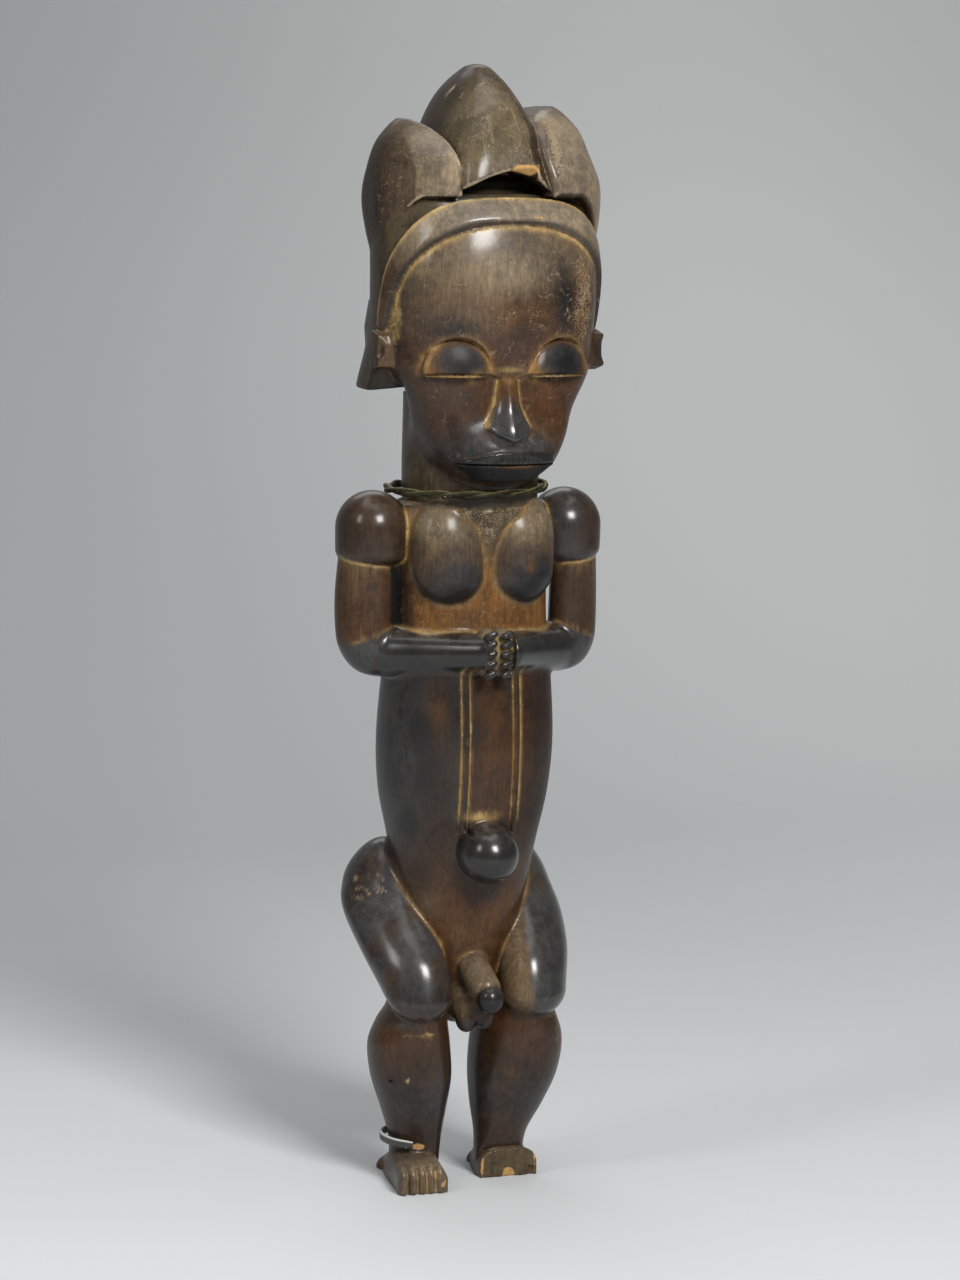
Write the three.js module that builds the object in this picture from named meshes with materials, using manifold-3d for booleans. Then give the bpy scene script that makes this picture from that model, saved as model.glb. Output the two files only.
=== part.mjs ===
// A guardian figure of a man, carved from one block of wood, standing with joined hands.
// A twisted metal ring lies round his neck and an open metal strip round his right ankle.
// Millimetres, +Z up. He faces -Y, and his own left side is towards +X.
// The origin is on the ground, under the middle of the figure's box.
import * as THREE from "three";
import { mergeVertices } from "three/addons/utils/BufferGeometryUtils.js";
import Module from "manifold-3d";

const wasm = await Module();
wasm.setup();

// Driving dimensions: heights above the ground
const TOP = 600; // tip of the middle crest
const BAND = 519; // lower edge of the diadem band over the forehead
const EYE_LINE = 438.5; // straight lower edge of the eyes
const NOSE_BASE = 405;
const MOUTH_LINE = 391;
const COLLAR = 372; // where the neck meets the shoulders
const ARMPIT = 336;
const HANDS = 291;
const NAVEL = 185;
const GROIN = 131;
const KNEE = 105;
const CROTCH = 84;

// Driving dimensions: half widths and places to either side
const NECK_RADIUS = 36.2;
const SHOULDER_RADIUS = 20;
const SHOULDER_X = 55.3;
const FACE_X = 1.5; // the head sits a little towards his left
const FACE_HALF_WIDTH = 60.5;
const FOOT_X = 26.5;
const BAND_HEIGHT = 14.5;
const BAND_PROUD = 2.8;

// The value of a smooth curve through stations, each at a height or length called `at`.
function curveThrough(stations, key, fallback) {
  const at = stations.map((s) => s.at);
  const value = stations.map((s) => s[key] ?? fallback(s));
  const last = at.length - 1;
  const slope = at.map((_, i) => {
    const a = Math.max(0, i - 1);
    const b = Math.min(last, i + 1);
    return (value[b] - value[a]) / (at[b] - at[a]);
  });
  return (h) => {
    let i = 0;
    while (i < last - 1 && h > at[i + 1]) i++;
    const step = at[i + 1] - at[i];
    const t = Math.min(1, Math.max(0, (h - at[i]) / step));
    const t2 = t * t;
    const t3 = t2 * t;
    return (
      (2 * t3 - 3 * t2 + 1) * value[i] +
      (t3 - 2 * t2 + t) * step * slope[i] +
      (3 * t2 - 2 * t3) * value[i + 1] +
      (t3 - t2) * step * slope[i + 1]
    );
  };
}

// A geometry from a flat list of coordinates and a list of triangle corners
function meshOf(points, faces) {
  const made = new THREE.BufferGeometry();
  made.setAttribute("position", new THREE.Float32BufferAttribute(points, 3));
  made.setIndex(faces);
  return made;
}

// A closed body lofted along Z through stations. Each station has a half width, a front and a back depth,
// a centre x, y and how square its front and back are: 2 is an ellipse, 4 is nearly a box.
// The ends are flat, or domes of the heights given. Its sections can be turned about their own centres.
function loft(
  stations,
  { domeBottom = 0, domeTop = 0, turn = 0, sides = 28, rings = 12, domeRings = 4 } = {},
) {
  const read = (key, fallback) => curveThrough(stations, key, fallback);
  const wide = read("wide", () => 0);
  const front = read("front", (s) => s.wide);
  const back = read("back", (s) => s.front ?? s.wide);
  const x = read("x", () => 0);
  const y = read("y", () => 0);
  const square = read("square", () => 2);
  const squareBack = read("squareBack", (s) => s.square ?? 2);
  const low = stations[0].at;
  const high = stations[stations.length - 1].at;

  const levels = [];
  if (domeBottom) {
    for (let i = 1; i < domeRings; i++) {
      const rise = (Math.PI / 2) * (i / domeRings);
      levels.push({ h: low + domeBottom * (1 - Math.cos(rise)), share: Math.sin(rise) });
    }
  }
  const straight = high - domeTop - low - domeBottom;
  for (let i = 0; i <= rings; i++) {
    levels.push({ h: low + domeBottom + (straight * i) / rings, share: 1 });
  }
  if (domeTop) {
    for (let i = domeRings - 1; i > 0; i--) {
      const rise = (Math.PI / 2) * (i / domeRings);
      levels.push({ h: high - domeTop * (1 - Math.cos(rise)), share: Math.sin(rise) });
    }
  }

  const points = [];
  const faces = [];
  for (const { h, share } of levels) {
    for (let k = 0; k < sides; k++) {
      const angle = (2 * Math.PI * k) / sides;
      const c = Math.cos(angle);
      const s = Math.sin(angle);
      const depth = s < 0 ? front(h) : back(h);
      const power = 2 / (s < 0 ? square(h) : squareBack(h));
      const across = share * wide(h) * Math.sign(c) * Math.abs(c) ** power;
      const inward = share * depth * Math.sign(s) * Math.abs(s) ** power;
      points.push(
        x(h) + across * Math.cos(turn) - inward * Math.sin(turn),
        y(h) + across * Math.sin(turn) + inward * Math.cos(turn),
        h,
      );
    }
  }
  for (let r = 0; r < levels.length - 1; r++) {
    for (let k = 0; k < sides; k++) {
      const a = r * sides + k;
      const b = r * sides + ((k + 1) % sides);
      faces.push(a, b, b + sides, a, b + sides, a + sides);
    }
  }
  const bottom = points.length / 3;
  points.push(x(low), y(low), low, x(high), y(high), high);
  const lastRing = (levels.length - 1) * sides;
  for (let k = 0; k < sides; k++) {
    const next = (k + 1) % sides;
    faces.push(bottom, next, k);
    faces.push(bottom + 1, lastRing + k, lastRing + next);
  }
  return meshOf(points, faces);
}

// A rounded ball with three half sizes
function ball(wide, deep, tall, columns = 20, rows = 12) {
  return new THREE.SphereGeometry(1, columns, rows).rotateX(Math.PI / 2).scale(wide, deep, tall);
}

// Turns a body that was made along +Z so that it runs from one point to another.
function along(geometry, from, to) {
  const way = new THREE.Vector3().subVectors(to, from).normalize();
  const turn = new THREE.Quaternion().setFromUnitVectors(new THREE.Vector3(0, 0, 1), way);
  return geometry.applyQuaternion(turn).translate(from.x, from.y, from.z);
}

// A turned limb with round ends from one point to another, with a radius at each equal step
function limb(from, to, radii, { sides = 18, rings = 7, flat = 1 } = {}) {
  const start = radii[0];
  const end = radii[radii.length - 1];
  const length = from.distanceTo(to) + start + end;
  const stations = radii.map((r, i) => ({
    at: -start + (length * i) / (radii.length - 1),
    wide: r,
    front: r * flat,
  }));
  return along(loft(stations, { domeBottom: start, domeTop: end, sides, rings, domeRings: 3 }), from, to);
}

const point = (x, y, z) => new THREE.Vector3(x, y, z);

// The bare closed surface of a geometry, and the same seen in a mirror between his left and right
function bare(geometry) {
  const plain = geometry.clone();
  for (const name of ["normal", "uv"]) plain.deleteAttribute(name);
  return mergeVertices(plain, 1e-3);
}
function mirror(geometry) {
  const other = bare(geometry).scale(-1, 1, 1);
  const index = other.index.array;
  for (let i = 0; i < index.length; i += 3) [index[i + 1], index[i + 2]] = [index[i + 2], index[i + 1]];
  return other;
}
const pair = (geometry) => [geometry, mirror(geometry)];

// A closed geometry as a solid, and a solid as a geometry
function solid(geometry) {
  const merged = bare(geometry);
  return new wasm.Manifold(
    new wasm.Mesh({
      numProp: 3,
      vertProperties: merged.attributes.position.array,
      triVerts: new Uint32Array(merged.index.array),
    }),
  );
}
function geometryOf(made) {
  const mesh = made.getMesh();
  const out = new THREE.BufferGeometry();
  out.setAttribute("position", new THREE.BufferAttribute(mesh.vertProperties, 3));
  out.setIndex(new THREE.BufferAttribute(mesh.triVerts, 1));
  return out;
}
const joined = (geometries) => geometries.map(solid).reduce((a, b) => a.add(b));

// Trunk: belly, chest and loins as one long barrel
function trunk() {
  return loft(
    [
      { at: CROTCH, wide: 15, front: 15, back: 20, y: 2 },
      { at: 104, wide: 19, front: 20, back: 25, y: 2 },
      { at: GROIN, wide: 29, front: 27, back: 32, y: 2 },
      { at: 158, wide: 35.5, front: 34, back: 36, y: 2 },
      { at: NAVEL, wide: 40, front: 39, back: 37, y: 2, square: 2.1 },
      { at: 212, wide: 45.5, front: 42, back: 39, y: 2, square: 2.2 },
      { at: 240, wide: 47.5, front: 42, back: 38, y: 1, square: 2.25 },
      { at: 275, wide: 45.5, front: 38, back: 36, square: 2.3 },
      { at: 305, wide: 42.5, front: 33, back: 34, square: 2.4 },
      { at: ARMPIT, wide: 42.5, front: 29, back: 34, square: 2.5 },
      { at: 356, wide: 43, front: 28.5, back: 33, square: 2.5 },
      { at: COLLAR, wide: 40, front: 29, back: 31, square: 2.3 },
    ],
    { domeBottom: 12, domeTop: 7, sides: 24, rings: 8, domeRings: 2 },
  );
}

// Breasts: broad and low, with their weight at the bottom
function breasts() {
  const breast = loft(
    [
      { at: 313, wide: 19.6, front: 17 },
      { at: 328, wide: 20, front: 18 },
      { at: 343, wide: 19.6, front: 16.3 },
      { at: 358, wide: 18, front: 12.5 },
      { at: 375, wide: 15, front: 9 },
    ],
    { domeBottom: 18, domeTop: 30, sides: 16, rings: 1, domeRings: 4 },
  );
  return pair(breast.rotateZ(0.1).translate(20.4, -20.5, 0));
}

// Navel: a big button that stands out and droops
function navel() {
  return limb(point(-1, -33, NAVEL), point(-1.5, -45, NAVEL - 3), [16, 16, 13.5], { sides: 14, rings: 2 });
}

// Two low ridges from the hands to the navel
function bellyRidges() {
  const stations = [196, 215, 240, 262, 284].map((at) => ({
    at,
    wide: 1.7,
    front: 3,
    y: -36.6 - 1.7 * Math.sin((Math.PI * (at - 186)) / 108),
    square: 2,
  }));
  return pair(loft(stations, { sides: 6, rings: 5 }).translate(14.5, 0, 0));
}

// Arms: a ball shoulder, an oval upper arm turned towards the hands, and a horn-like forearm
function arms() {
  const shoulder = ball(SHOULDER_RADIUS - 0.5, SHOULDER_RADIUS, SHOULDER_RADIUS, 14, 9);
  shoulder.translate(SHOULDER_X, 0, 353.6);
  const upper = loft(
    [
      { at: 276, wide: 14.4, front: 12.6, x: -3.5 },
      { at: 298, wide: 15.2, front: 12.4, x: -0.5 },
      { at: 318, wide: 15.6, front: 12 },
      { at: 344, wide: 13.5, front: 11.5 },
    ],
    { domeBottom: 20, sides: 14, rings: 3, domeRings: 3 },
  );
  upper.rotateZ(Math.PI / 4.5).translate(60.4, -2, 0);
  const elbow = point(50, -3.5, 287.5);
  const wrist = point(15, -41.5, HANDS);
  const forearm = limb(elbow, wrist, [13, 13, 11.6, 9.8, 9.2], { sides: 12, rings: 3 });
  return [shoulder, upper, forearm].flatMap(pair);
}

// Hands: two fists, fingertip to fingertip, with five fingers each
const FINGER = { radius: 2.9, length: 8.4, step: 5 };
function hands() {
  const palm = loft(
    [
      { at: HANDS - 13.5, wide: 5, front: 7 },
      { at: HANDS, wide: 6.2, front: 8.5, square: 3 },
      { at: HANDS + 13.5, wide: 5, front: 7 },
    ],
    { domeBottom: 4, domeTop: 4, sides: 12, rings: 3, domeRings: 3 },
  ).translate(5.6, -42.5, 0);
  const fingers = [-2, -1, 0, 1, 2].map((i) => {
    const finger = new THREE.CylinderGeometry(FINGER.radius, FINGER.radius, FINGER.length, 6);
    finger.rotateZ(Math.PI / 2).rotateY(-0.12);
    return finger.translate(4.8, -50.3, HANDS + i * FINGER.step);
  });
  return [palm, ...fingers].flatMap(pair).map((g) => g.translate(-1.7, 0, 0));
}

// Legs: heavy thighs that sweep in and forward to the knee, and calves that swell to the side and back
const CALF_TURN = 0.3;
function legs() {
  const thigh = loft(
    [
      { at: 91, wide: 16, front: 18, x: 33.5, y: -27 },
      { at: 109, wide: 18.3, front: 23.2, x: 34.8, y: -19 },
      { at: 125, wide: 18.6, front: 28.2, x: 39, y: -8.5 },
      { at: 143, wide: 17.6, front: 26.4, x: 41.8, y: 6 },
      { at: 160, wide: 16, front: 23, x: 40, y: 17 },
      { at: 183, wide: 15, front: 18, x: 35.5, y: 24 },
    ],
    { domeBottom: 14, domeTop: 24, turn: -Math.PI / 6, sides: 16, rings: 6, domeRings: 3 },
  );
  const buttock = ball(26, 25, 27, 14, 9).translate(20, 18, 157);
  const calf = loft(
    [
      { at: 8, wide: 13.6, front: 14, back: 14.5, x: -4.5, y: 4 },
      { at: 24, wide: 14.4, front: 15, back: 15.5, x: -4.5, y: 3 },
      { at: 40, wide: 17.2, front: 18, back: 21, x: -2.8, y: 2 },
      { at: 58, wide: 20.6, front: 24, back: 28, x: -0.8, y: 0 },
      { at: 78, wide: 21.2, front: 27, back: 29, x: 0, y: -1 },
      { at: 98, wide: 20, front: 27, back: 26, x: 0, y: -2 },
      { at: 118, wide: 15, front: 20, back: 20, x: 0.5, y: -3 },
    ],
    { domeTop: 10, sides: 14, rings: 6, domeRings: 2 },
  );
  calf.rotateZ(CALF_TURN);
  // His left calf is the stouter one.
  const leftCalf = calf.clone().scale(1.07, 1, 1).translate(32.5, -5, 0);
  const rightCalf = mirror(calf).translate(-31, -5, 0);
  return [...[thigh, buttock].flatMap(pair), leftCalf, rightCalf];
}

// Loins
function loins() {
  return [
    limb(point(0, -21, GROIN - 9), point(0.5, -37, 110), [10.5, 10, 8.5], { sides: 12, rings: 2 }),
    ball(7.4, 7.4, 8, 10, 7).translate(1, -42.5, 105),
    ball(13, 15, 14, 12, 7).translate(0, -16, 99),
    ball(5.5, 7, 7.5, 10, 6).translate(-5, -23, 91),
    ball(5, 6.5, 7, 10, 6).translate(5.5, -23, 91.5),
  ];
}

// Feet, each made along its own length with the sole cut flat. The front of the left foot is broken off.
const FOOT = { heelY: 27, toeY: -37, toeOut: 5.5, breakY: -12 };
function footBlock(heelX, toeX) {
  const length = FOOT.heelY - FOOT.toeY;
  const stations = [
    { at: 0, wide: 7, front: 8, back: 7, square: 2.6, y: 1 },
    { at: 0.16 * length, wide: 11, front: 10, back: 10, square: 2.8, y: 2 },
    { at: 0.45 * length, wide: 14, front: 14, back: 18, square: 3.2, y: 2 },
    { at: 0.72 * length, wide: 15, front: 14, back: 13.5, square: 4, y: 2 },
    { at: length, wide: 13.2, front: 12, back: 6.5, square: 4, y: 2 },
  ];
  const block = loft(stations, { domeBottom: 5, domeTop: 4, sides: 18, rings: 5, domeRings: 2 });
  const ahead = point(toeX - heelX, FOOT.toeY - FOOT.heelY, 0).normalize();
  const up = point(0, 0, 1);
  const side = new THREE.Vector3().crossVectors(up, ahead);
  const frame = new THREE.Matrix4().makeBasis(side, up, ahead);
  return block.applyMatrix4(frame).translate(heelX, FOOT.heelY, 0);
}
const heelKnob = (x) => ball(9, 8, 7.5, 10, 6).translate(x, FOOT.heelY - 1, 2);

const TOE = { count: 5, spread: 24.5, grooveWide: 1.3, grooveLong: 17, grooveDeep: 9 };
function toeGrooves(toeX) {
  const toeGap = TOE.spread / TOE.count;
  return Array.from({ length: TOE.count - 1 }, (_, i) => {
    const groove = new THREE.BoxGeometry(TOE.grooveWide, TOE.grooveLong, TOE.grooveDeep);
    const offset = (i - (TOE.count - 2) / 2) * toeGap;
    groove.rotateX(0.42).rotateZ(-0.05 * offset * 0.35 - 0.09);
    return groove.translate(toeX + offset, FOOT.toeY - 2, 8.5 - 0.1 * Math.abs(offset));
  });
}

// Head: a narrow face that widens from the mouth to the temples
function face() {
  const x = FACE_X;
  return loft(
    [
      { at: 380, wide: 22, front: 43, back: 30, x, square: 2.3, squareBack: 2 },
      { at: MOUTH_LINE, wide: 32, front: 47, back: 33, x, square: 3.6, squareBack: 2 },
      { at: 403, wide: 38, front: 47, back: 35, x, square: 4, squareBack: 2 },
      { at: 419, wide: 44.5, front: 45.5, back: 38, x, square: 3.7, squareBack: 2 },
      { at: EYE_LINE, wide: 57, front: 46, back: 40, x, square: 3.4, squareBack: 2.2 },
      { at: 457, wide: 60, front: 45, back: 43, x, square: 3.2, squareBack: 2.3 },
      { at: 474, wide: 58, front: 43, back: 43, x, square: 3, squareBack: 2.3 },
    ],
    { domeBottom: 5, sides: 24, rings: 7, domeRings: 2 },
  );
}

// Forehead: a great dome, cut away below in two bows over the eyes that meet at the root of the nose
function dome(swell) {
  const x = FACE_X;
  const half = FACE_HALF_WIDTH + swell;
  return loft(
    [
      { at: 430, wide: 48, front: 46, back: 40, x, square: 2.8, squareBack: 2.2 },
      { at: 441, wide: 54 + swell, front: 50.5 + swell, back: 41, x, square: 2.8, squareBack: 2.2 },
      { at: 457, wide: 59 + swell, front: 54.5 + swell, back: 43, x, square: 2.75, squareBack: 2.3 },
      { at: 478, wide: half, front: 57.5 + swell, back: 44, x, square: 2.7, squareBack: 2.4 },
      { at: 498, wide: 60 + swell, front: 57.5 + swell, back: 44, x, square: 2.6, squareBack: 2.4 },
      { at: BAND, wide: 57 + swell, front: 52.5 + swell, back: 44, x, square: 2.4 },
      { at: 534, wide: 51 + swell, front: 44 + swell, back: 42, x, square: 2.3 },
      { at: 550, wide: 40, front: 33, back: 34, x },
    ],
    { domeTop: 8, sides: 26, rings: 8, domeRings: 2 },
  );
}

// The diadem's lower edge as seen from his side, and the same line moved up square to itself
const diademPath = new THREE.SplineCurve(
  [
    [-66, BAND + 1],
    [-55, BAND + 0.5],
    [-48.3, BAND - 7],
    [-42.5, BAND - 15],
    [-34, BAND - 27],
    [-27, BAND - 41],
    [-20, BAND - 59],
  ].map(([y, z]) => new THREE.Vector2(y, z)),
);
function diademEdge(height) {
  return Array.from({ length: 11 }, (_, i) => {
    const at = diademPath.getPoint(i / 10);
    const run = diademPath.getTangent(i / 10);
    const rise = height * (1 - 0.005 * i * i);
    return new THREE.Vector2(at.x - run.y * rise, at.y + run.x * rise);
  });
}

// A flat outline seen from his side, y and z, pushed through the whole head
function acrossHead(outline) {
  const block = new THREE.ExtrudeGeometry(new THREE.Shape(outline), { depth: 160, bevelEnabled: false });
  return block.rotateX(Math.PI / 2).rotateZ(Math.PI / 2).translate(-80, 0, 0);
}

// All above and behind the diadem, where the coiffure stands back from its upper edge
function crown() {
  const corners = [
    [60, BAND - 60],
    [60, TOP + 20],
    [-90, TOP + 20],
    [-90, BAND + 0.6 * BAND_HEIGHT],
  ];
  return acrossHead([
    ...diademEdge(0.6 * BAND_HEIGHT),
    ...corners.map(([y, z]) => new THREE.Vector2(y, z)),
  ]);
}
const EYE = { x: 29, halfWidth: 18, height: 19.5 };
function forehead() {
  const below = new THREE.Shape();
  below.moveTo(-90, 400);
  below.lineTo(-90, EYE_LINE);
  below.lineTo(-EYE.x - EYE.halfWidth, EYE_LINE);
  const bow = (side, start, end, clockwise) =>
    below.absellipse(side * EYE.x, EYE_LINE, EYE.halfWidth, EYE.height, start, end, clockwise);
  bow(-1, Math.PI, 0, true);
  below.lineTo(0, EYE_LINE - 3);
  below.lineTo(EYE.x - EYE.halfWidth, EYE_LINE);
  bow(1, Math.PI, 0, true);
  below.lineTo(90, EYE_LINE);
  below.lineTo(90, 400);
  const cut = new THREE.ExtrudeGeometry(below, { depth: 160, bevelEnabled: false, curveSegments: 8 });
  cut.rotateX(Math.PI / 2).translate(FACE_X, 80, 0);
  return geometryOf(solid(dome(0)).subtract(solid(cut)).subtract(solid(crown())));
}
function neck() {
  return new THREE.CylinderGeometry(NECK_RADIUS, NECK_RADIUS + 0.8, 62, 22)
    .rotateX(Math.PI / 2)
    .translate(0, 0, COLLAR + 22);
}

// Eyes: closed lids as half domes, flat along their lower edge
function eyes() {
  const lid = ball(EYE.halfWidth - 2, 9, EYE.height - 2.5, 14, 10);
  const below = new THREE.BoxGeometry(44, 30, 20).translate(0, 0, -10);
  const half = geometryOf(solid(lid).subtract(solid(below)));
  const place = (side) =>
    half.clone().rotateX(-0.12).rotateZ(side * 0.2).translate(FACE_X + side * EYE.x, -42.5, EYE_LINE);
  return [place(1), place(-1)];
}

// Nose: a straight ridge that opens into an arrow-shaped tip
function nose() {
  const outline = new THREE.Shape();
  outline.moveTo(-4, EYE_LINE + 3);
  outline.lineTo(-4.8, 424);
  outline.lineTo(-10.6, NOSE_BASE + 4);
  outline.quadraticCurveTo(-8, NOSE_BASE + 1, 0, NOSE_BASE - 3);
  outline.quadraticCurveTo(8, NOSE_BASE + 1, 10.6, NOSE_BASE + 4);
  outline.lineTo(4.8, 424);
  outline.lineTo(4, EYE_LINE + 3);
  const ridge = loft(
    [
      { at: NOSE_BASE - 6, wide: 15, front: 11.5, y: -47 },
      { at: NOSE_BASE + 3, wide: 13, front: 11, y: -47 },
      { at: 421, wide: 8, front: 8, y: -45 },
      { at: EYE_LINE + 4, wide: 7, front: 7.5, y: -42 },
    ],
    { sides: 8, rings: 5 },
  );
  return geometryOf(solid(through(outline, -70, -36, 3)).intersect(solid(ridge))).translate(FACE_X, 0, 0);
}

// Mouth: lips pushed forward, parted, over no chin
function mouth() {
  const muzzle = ball(25, 19, 14, 14, 8).translate(FACE_X - 0.5, -36, MOUTH_LINE + 7);
  const lowerLip = loft(
    [
      { at: MOUTH_LINE - 10.5, wide: 15, front: 11, back: 14, y: -38, square: 2 },
      { at: MOUTH_LINE - 4, wide: 22, front: 15.5, back: 14, y: -38, square: 2 },
      { at: MOUTH_LINE - 0.5, wide: 27.5, front: 17.5, back: 14, y: -38, square: 2 },
    ],
    { domeBottom: 3, sides: 18, rings: 2, domeRings: 2 },
  ).translate(FACE_X - 0.5, 0, 0);
  const upperLip = loft(
    [
      { at: MOUTH_LINE + 1.5, wide: 26, front: 17.5, back: 14, y: -38 },
      { at: MOUTH_LINE + 4.5, wide: 22, front: 18, back: 14, y: -38 },
    ],
    { domeTop: 2, sides: 18, rings: 1, domeRings: 2 },
  ).translate(FACE_X - 0.5, 0, 0);
  return [muzzle, lowerLip, upperLip];
}

// Ears: small brackets at the ends of the diadem, in front of the coiffure
function ears() {
  const outline = new THREE.Shape();
  outline.moveTo(8, 438);
  outline.lineTo(-3, 441);
  outline.quadraticCurveTo(-6, 449, -2, 458);
  outline.lineTo(8, 460);
  // The outline's x becomes the figure's y, and its depth runs outwards.
  const ear = (depth) =>
    new THREE.ExtrudeGeometry(outline, { depth, bevelEnabled: false, curveSegments: 4 })
      .rotateX(Math.PI / 2)
      .rotateZ(Math.PI / 2)
      .translate(52.5, -22, 0);
  return [ear(13), mirror(ear(11))];
}

// Diadem: a band of even height, a little prouder than the forehead, that bows down to both ears
function diadem() {
  const band = acrossHead([...diademEdge(0), ...diademEdge(BAND_HEIGHT).reverse()]);
  return geometryOf(solid(band).intersect(solid(dome(BAND_PROUD))));
}

// Coiffure: a helmet that flares out behind the ears, under three crests
function helmet() {
  const shell = loft(
    [
      { at: 418, wide: 69.5, front: 9, back: 58, x: 1, square: 8, squareBack: 2.1 },
      { at: 432, wide: 67, front: 9, back: 58, x: 1, square: 8, squareBack: 2.1 },
      { at: 450, wide: 62.5, front: 9, back: 58, x: 1, square: 8, squareBack: 2.1 },
      { at: 466, wide: 60.5, front: 10, back: 58, x: 1, square: 6, squareBack: 2.1 },
      { at: 486, wide: 60.5, front: 10, back: 58, x: 1, square: 4, squareBack: 2.1 },
      { at: 506, wide: 60.5, front: 19, back: 58, x: 1, square: 3, squareBack: 2.1 },
      { at: 524, wide: 57, front: 26, back: 56, x: 1, square: 2.5, squareBack: 2.1 },
      { at: 540, wide: 48, front: 20, back: 50, x: 0, square: 2.4, squareBack: 2.1 },
    ],
    { domeTop: 8, sides: 22, rings: 6, domeRings: 2 },
  ).translate(0, -12, 0);
  // The lower rim is cut on a slant and hangs lower on his right.
  const cut = new THREE.BoxGeometry(180, 160, 40).translate(0, 30, -20).rotateY(-0.085).translate(0, 0, 434);
  // It is hollowed under the prow of the middle crest, down to the diadem's upper edge.
  const hollow = new THREE.BoxGeometry(56, 50, 30).translate(0, -47, BAND + BAND_HEIGHT + 14);
  return solid(shell).subtract(solid(cut)).subtract(solid(hollow));
}

// A flat outline in the XZ plane pushed through along Y, from front to back
function through(outline, front, back, curveSegments = 6) {
  const depth = back - front;
  const block = new THREE.ExtrudeGeometry(outline, { depth, bevelEnabled: false, curveSegments });
  return block.rotateX(Math.PI / 2).translate(0, back, 0);
}

// Middle crest, with a hollow under its prow. Its front corner on his left is cut away on a slant.
function middleCrest() {
  const crest = loft(
    [
      { at: 428, wide: 20, front: 10, back: 44, square: 2.6 },
      { at: 466, wide: 24, front: 16, back: 52, square: 2.6 },
      { at: 500, wide: 26, front: 38, back: 56, square: 5, squareBack: 2.6 },
      { at: 526, wide: 28, front: 51, back: 56, square: 6, squareBack: 2.6 },
      { at: 538, wide: 28, front: 51.5, back: 55, square: 6, squareBack: 2.6 },
      { at: 553, wide: 27, front: 48, back: 52, square: 4.5, squareBack: 2.5 },
      { at: 568, wide: 24.2, front: 41, back: 46, square: 3, squareBack: 2.4 },
      { at: 582, wide: 18.4, front: 31, back: 37, square: 2.4 },
      { at: 592, wide: 11.6, front: 21, back: 26, square: 2.2 },
      { at: TOP, wide: 4, front: 8, back: 10 },
    ],
    { domeTop: 2, sides: 20, rings: 10, domeRings: 2 },
  ).translate(0, 2, 0);
  const arch = new THREE.Shape();
  arch.moveTo(-32, 490);
  arch.lineTo(-32, 531);
  arch.lineTo(-28, 533);
  arch.quadraticCurveTo(-14, 543, 0, 546);
  arch.lineTo(3, 549.5);
  arch.lineTo(15, 549.5);
  arch.lineTo(28, 531);
  arch.lineTo(32, 530);
  arch.lineTo(32, 490);
  const corner = new THREE.BoxGeometry(120, 120, 60).translate(0, 0, 30);
  const slant = point(0.581, -0.733, 0.354);
  const edge = point(9.8, -50, 549);
  along(corner, edge, edge.clone().add(slant));
  return geometryOf(solid(crest).subtract(solid(through(arch, -70, -15, 3))).subtract(solid(corner)));
}

// Side crests: arched in front view, one higher than the other, and rounded back like the head itself.
// Each is drawn for his left and mirrored for his right. Its outer limb spreads by the width given.
function sideCrest(side, top, spread) {
  const envelope = loft(
    [
      { at: top - 78, wide: 55 + 2 * spread, front: 44, back: 30, square: 2.6, squareBack: 2 },
      { at: top - 58, wide: 61 + 1.2 * spread, front: 51, back: 37, square: 2.6, squareBack: 2 },
      { at: top - 41, wide: 64 + 0.6 * spread, front: 53, back: 38, square: 2.6, squareBack: 2 },
      { at: top - 26, wide: 61.5, front: 48, back: 38, square: 2.5, squareBack: 2 },
      { at: top - 13, wide: 57, front: 39, back: 36, square: 2.3, squareBack: 2 },
      { at: top - 4, wide: 49.5, front: 26, back: 31 },
      { at: top + 2, wide: 43, front: 8, back: 22 },
    ],
    { sides: 20, rings: 6 },
  ).translate(0, 2, 0);
  const inner = 18.2;
  const outer = inner + spread;
  const arch = new THREE.Shape();
  arch.moveTo(-inner, 480);
  arch.lineTo(-inner, top - 28);
  arch.bezierCurveTo(-inner, top - 13, -inner * 0.5, top, 0, top);
  arch.bezierCurveTo(inner * 0.5, top, inner, top - 13, inner, top - 28);
  arch.lineTo(outer, top - 44);
  arch.lineTo(outer, 480);
  const under = new THREE.Shape();
  under.moveTo(-50, 460);
  under.lineTo(-50, 531);
  under.lineTo(0, 531);
  under.quadraticCurveTo(9, 527, 14, 506);
  under.lineTo(40, 460);
  const crest = solid(through(arch, -70, 60, 5)).subtract(solid(through(under, -70, -22, 3)));
  const placed = bare(geometryOf(crest)).translate(43, 0, 0);
  return geometryOf(solid(side > 0 ? placed : mirror(placed)).intersect(solid(envelope)));
}

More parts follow.
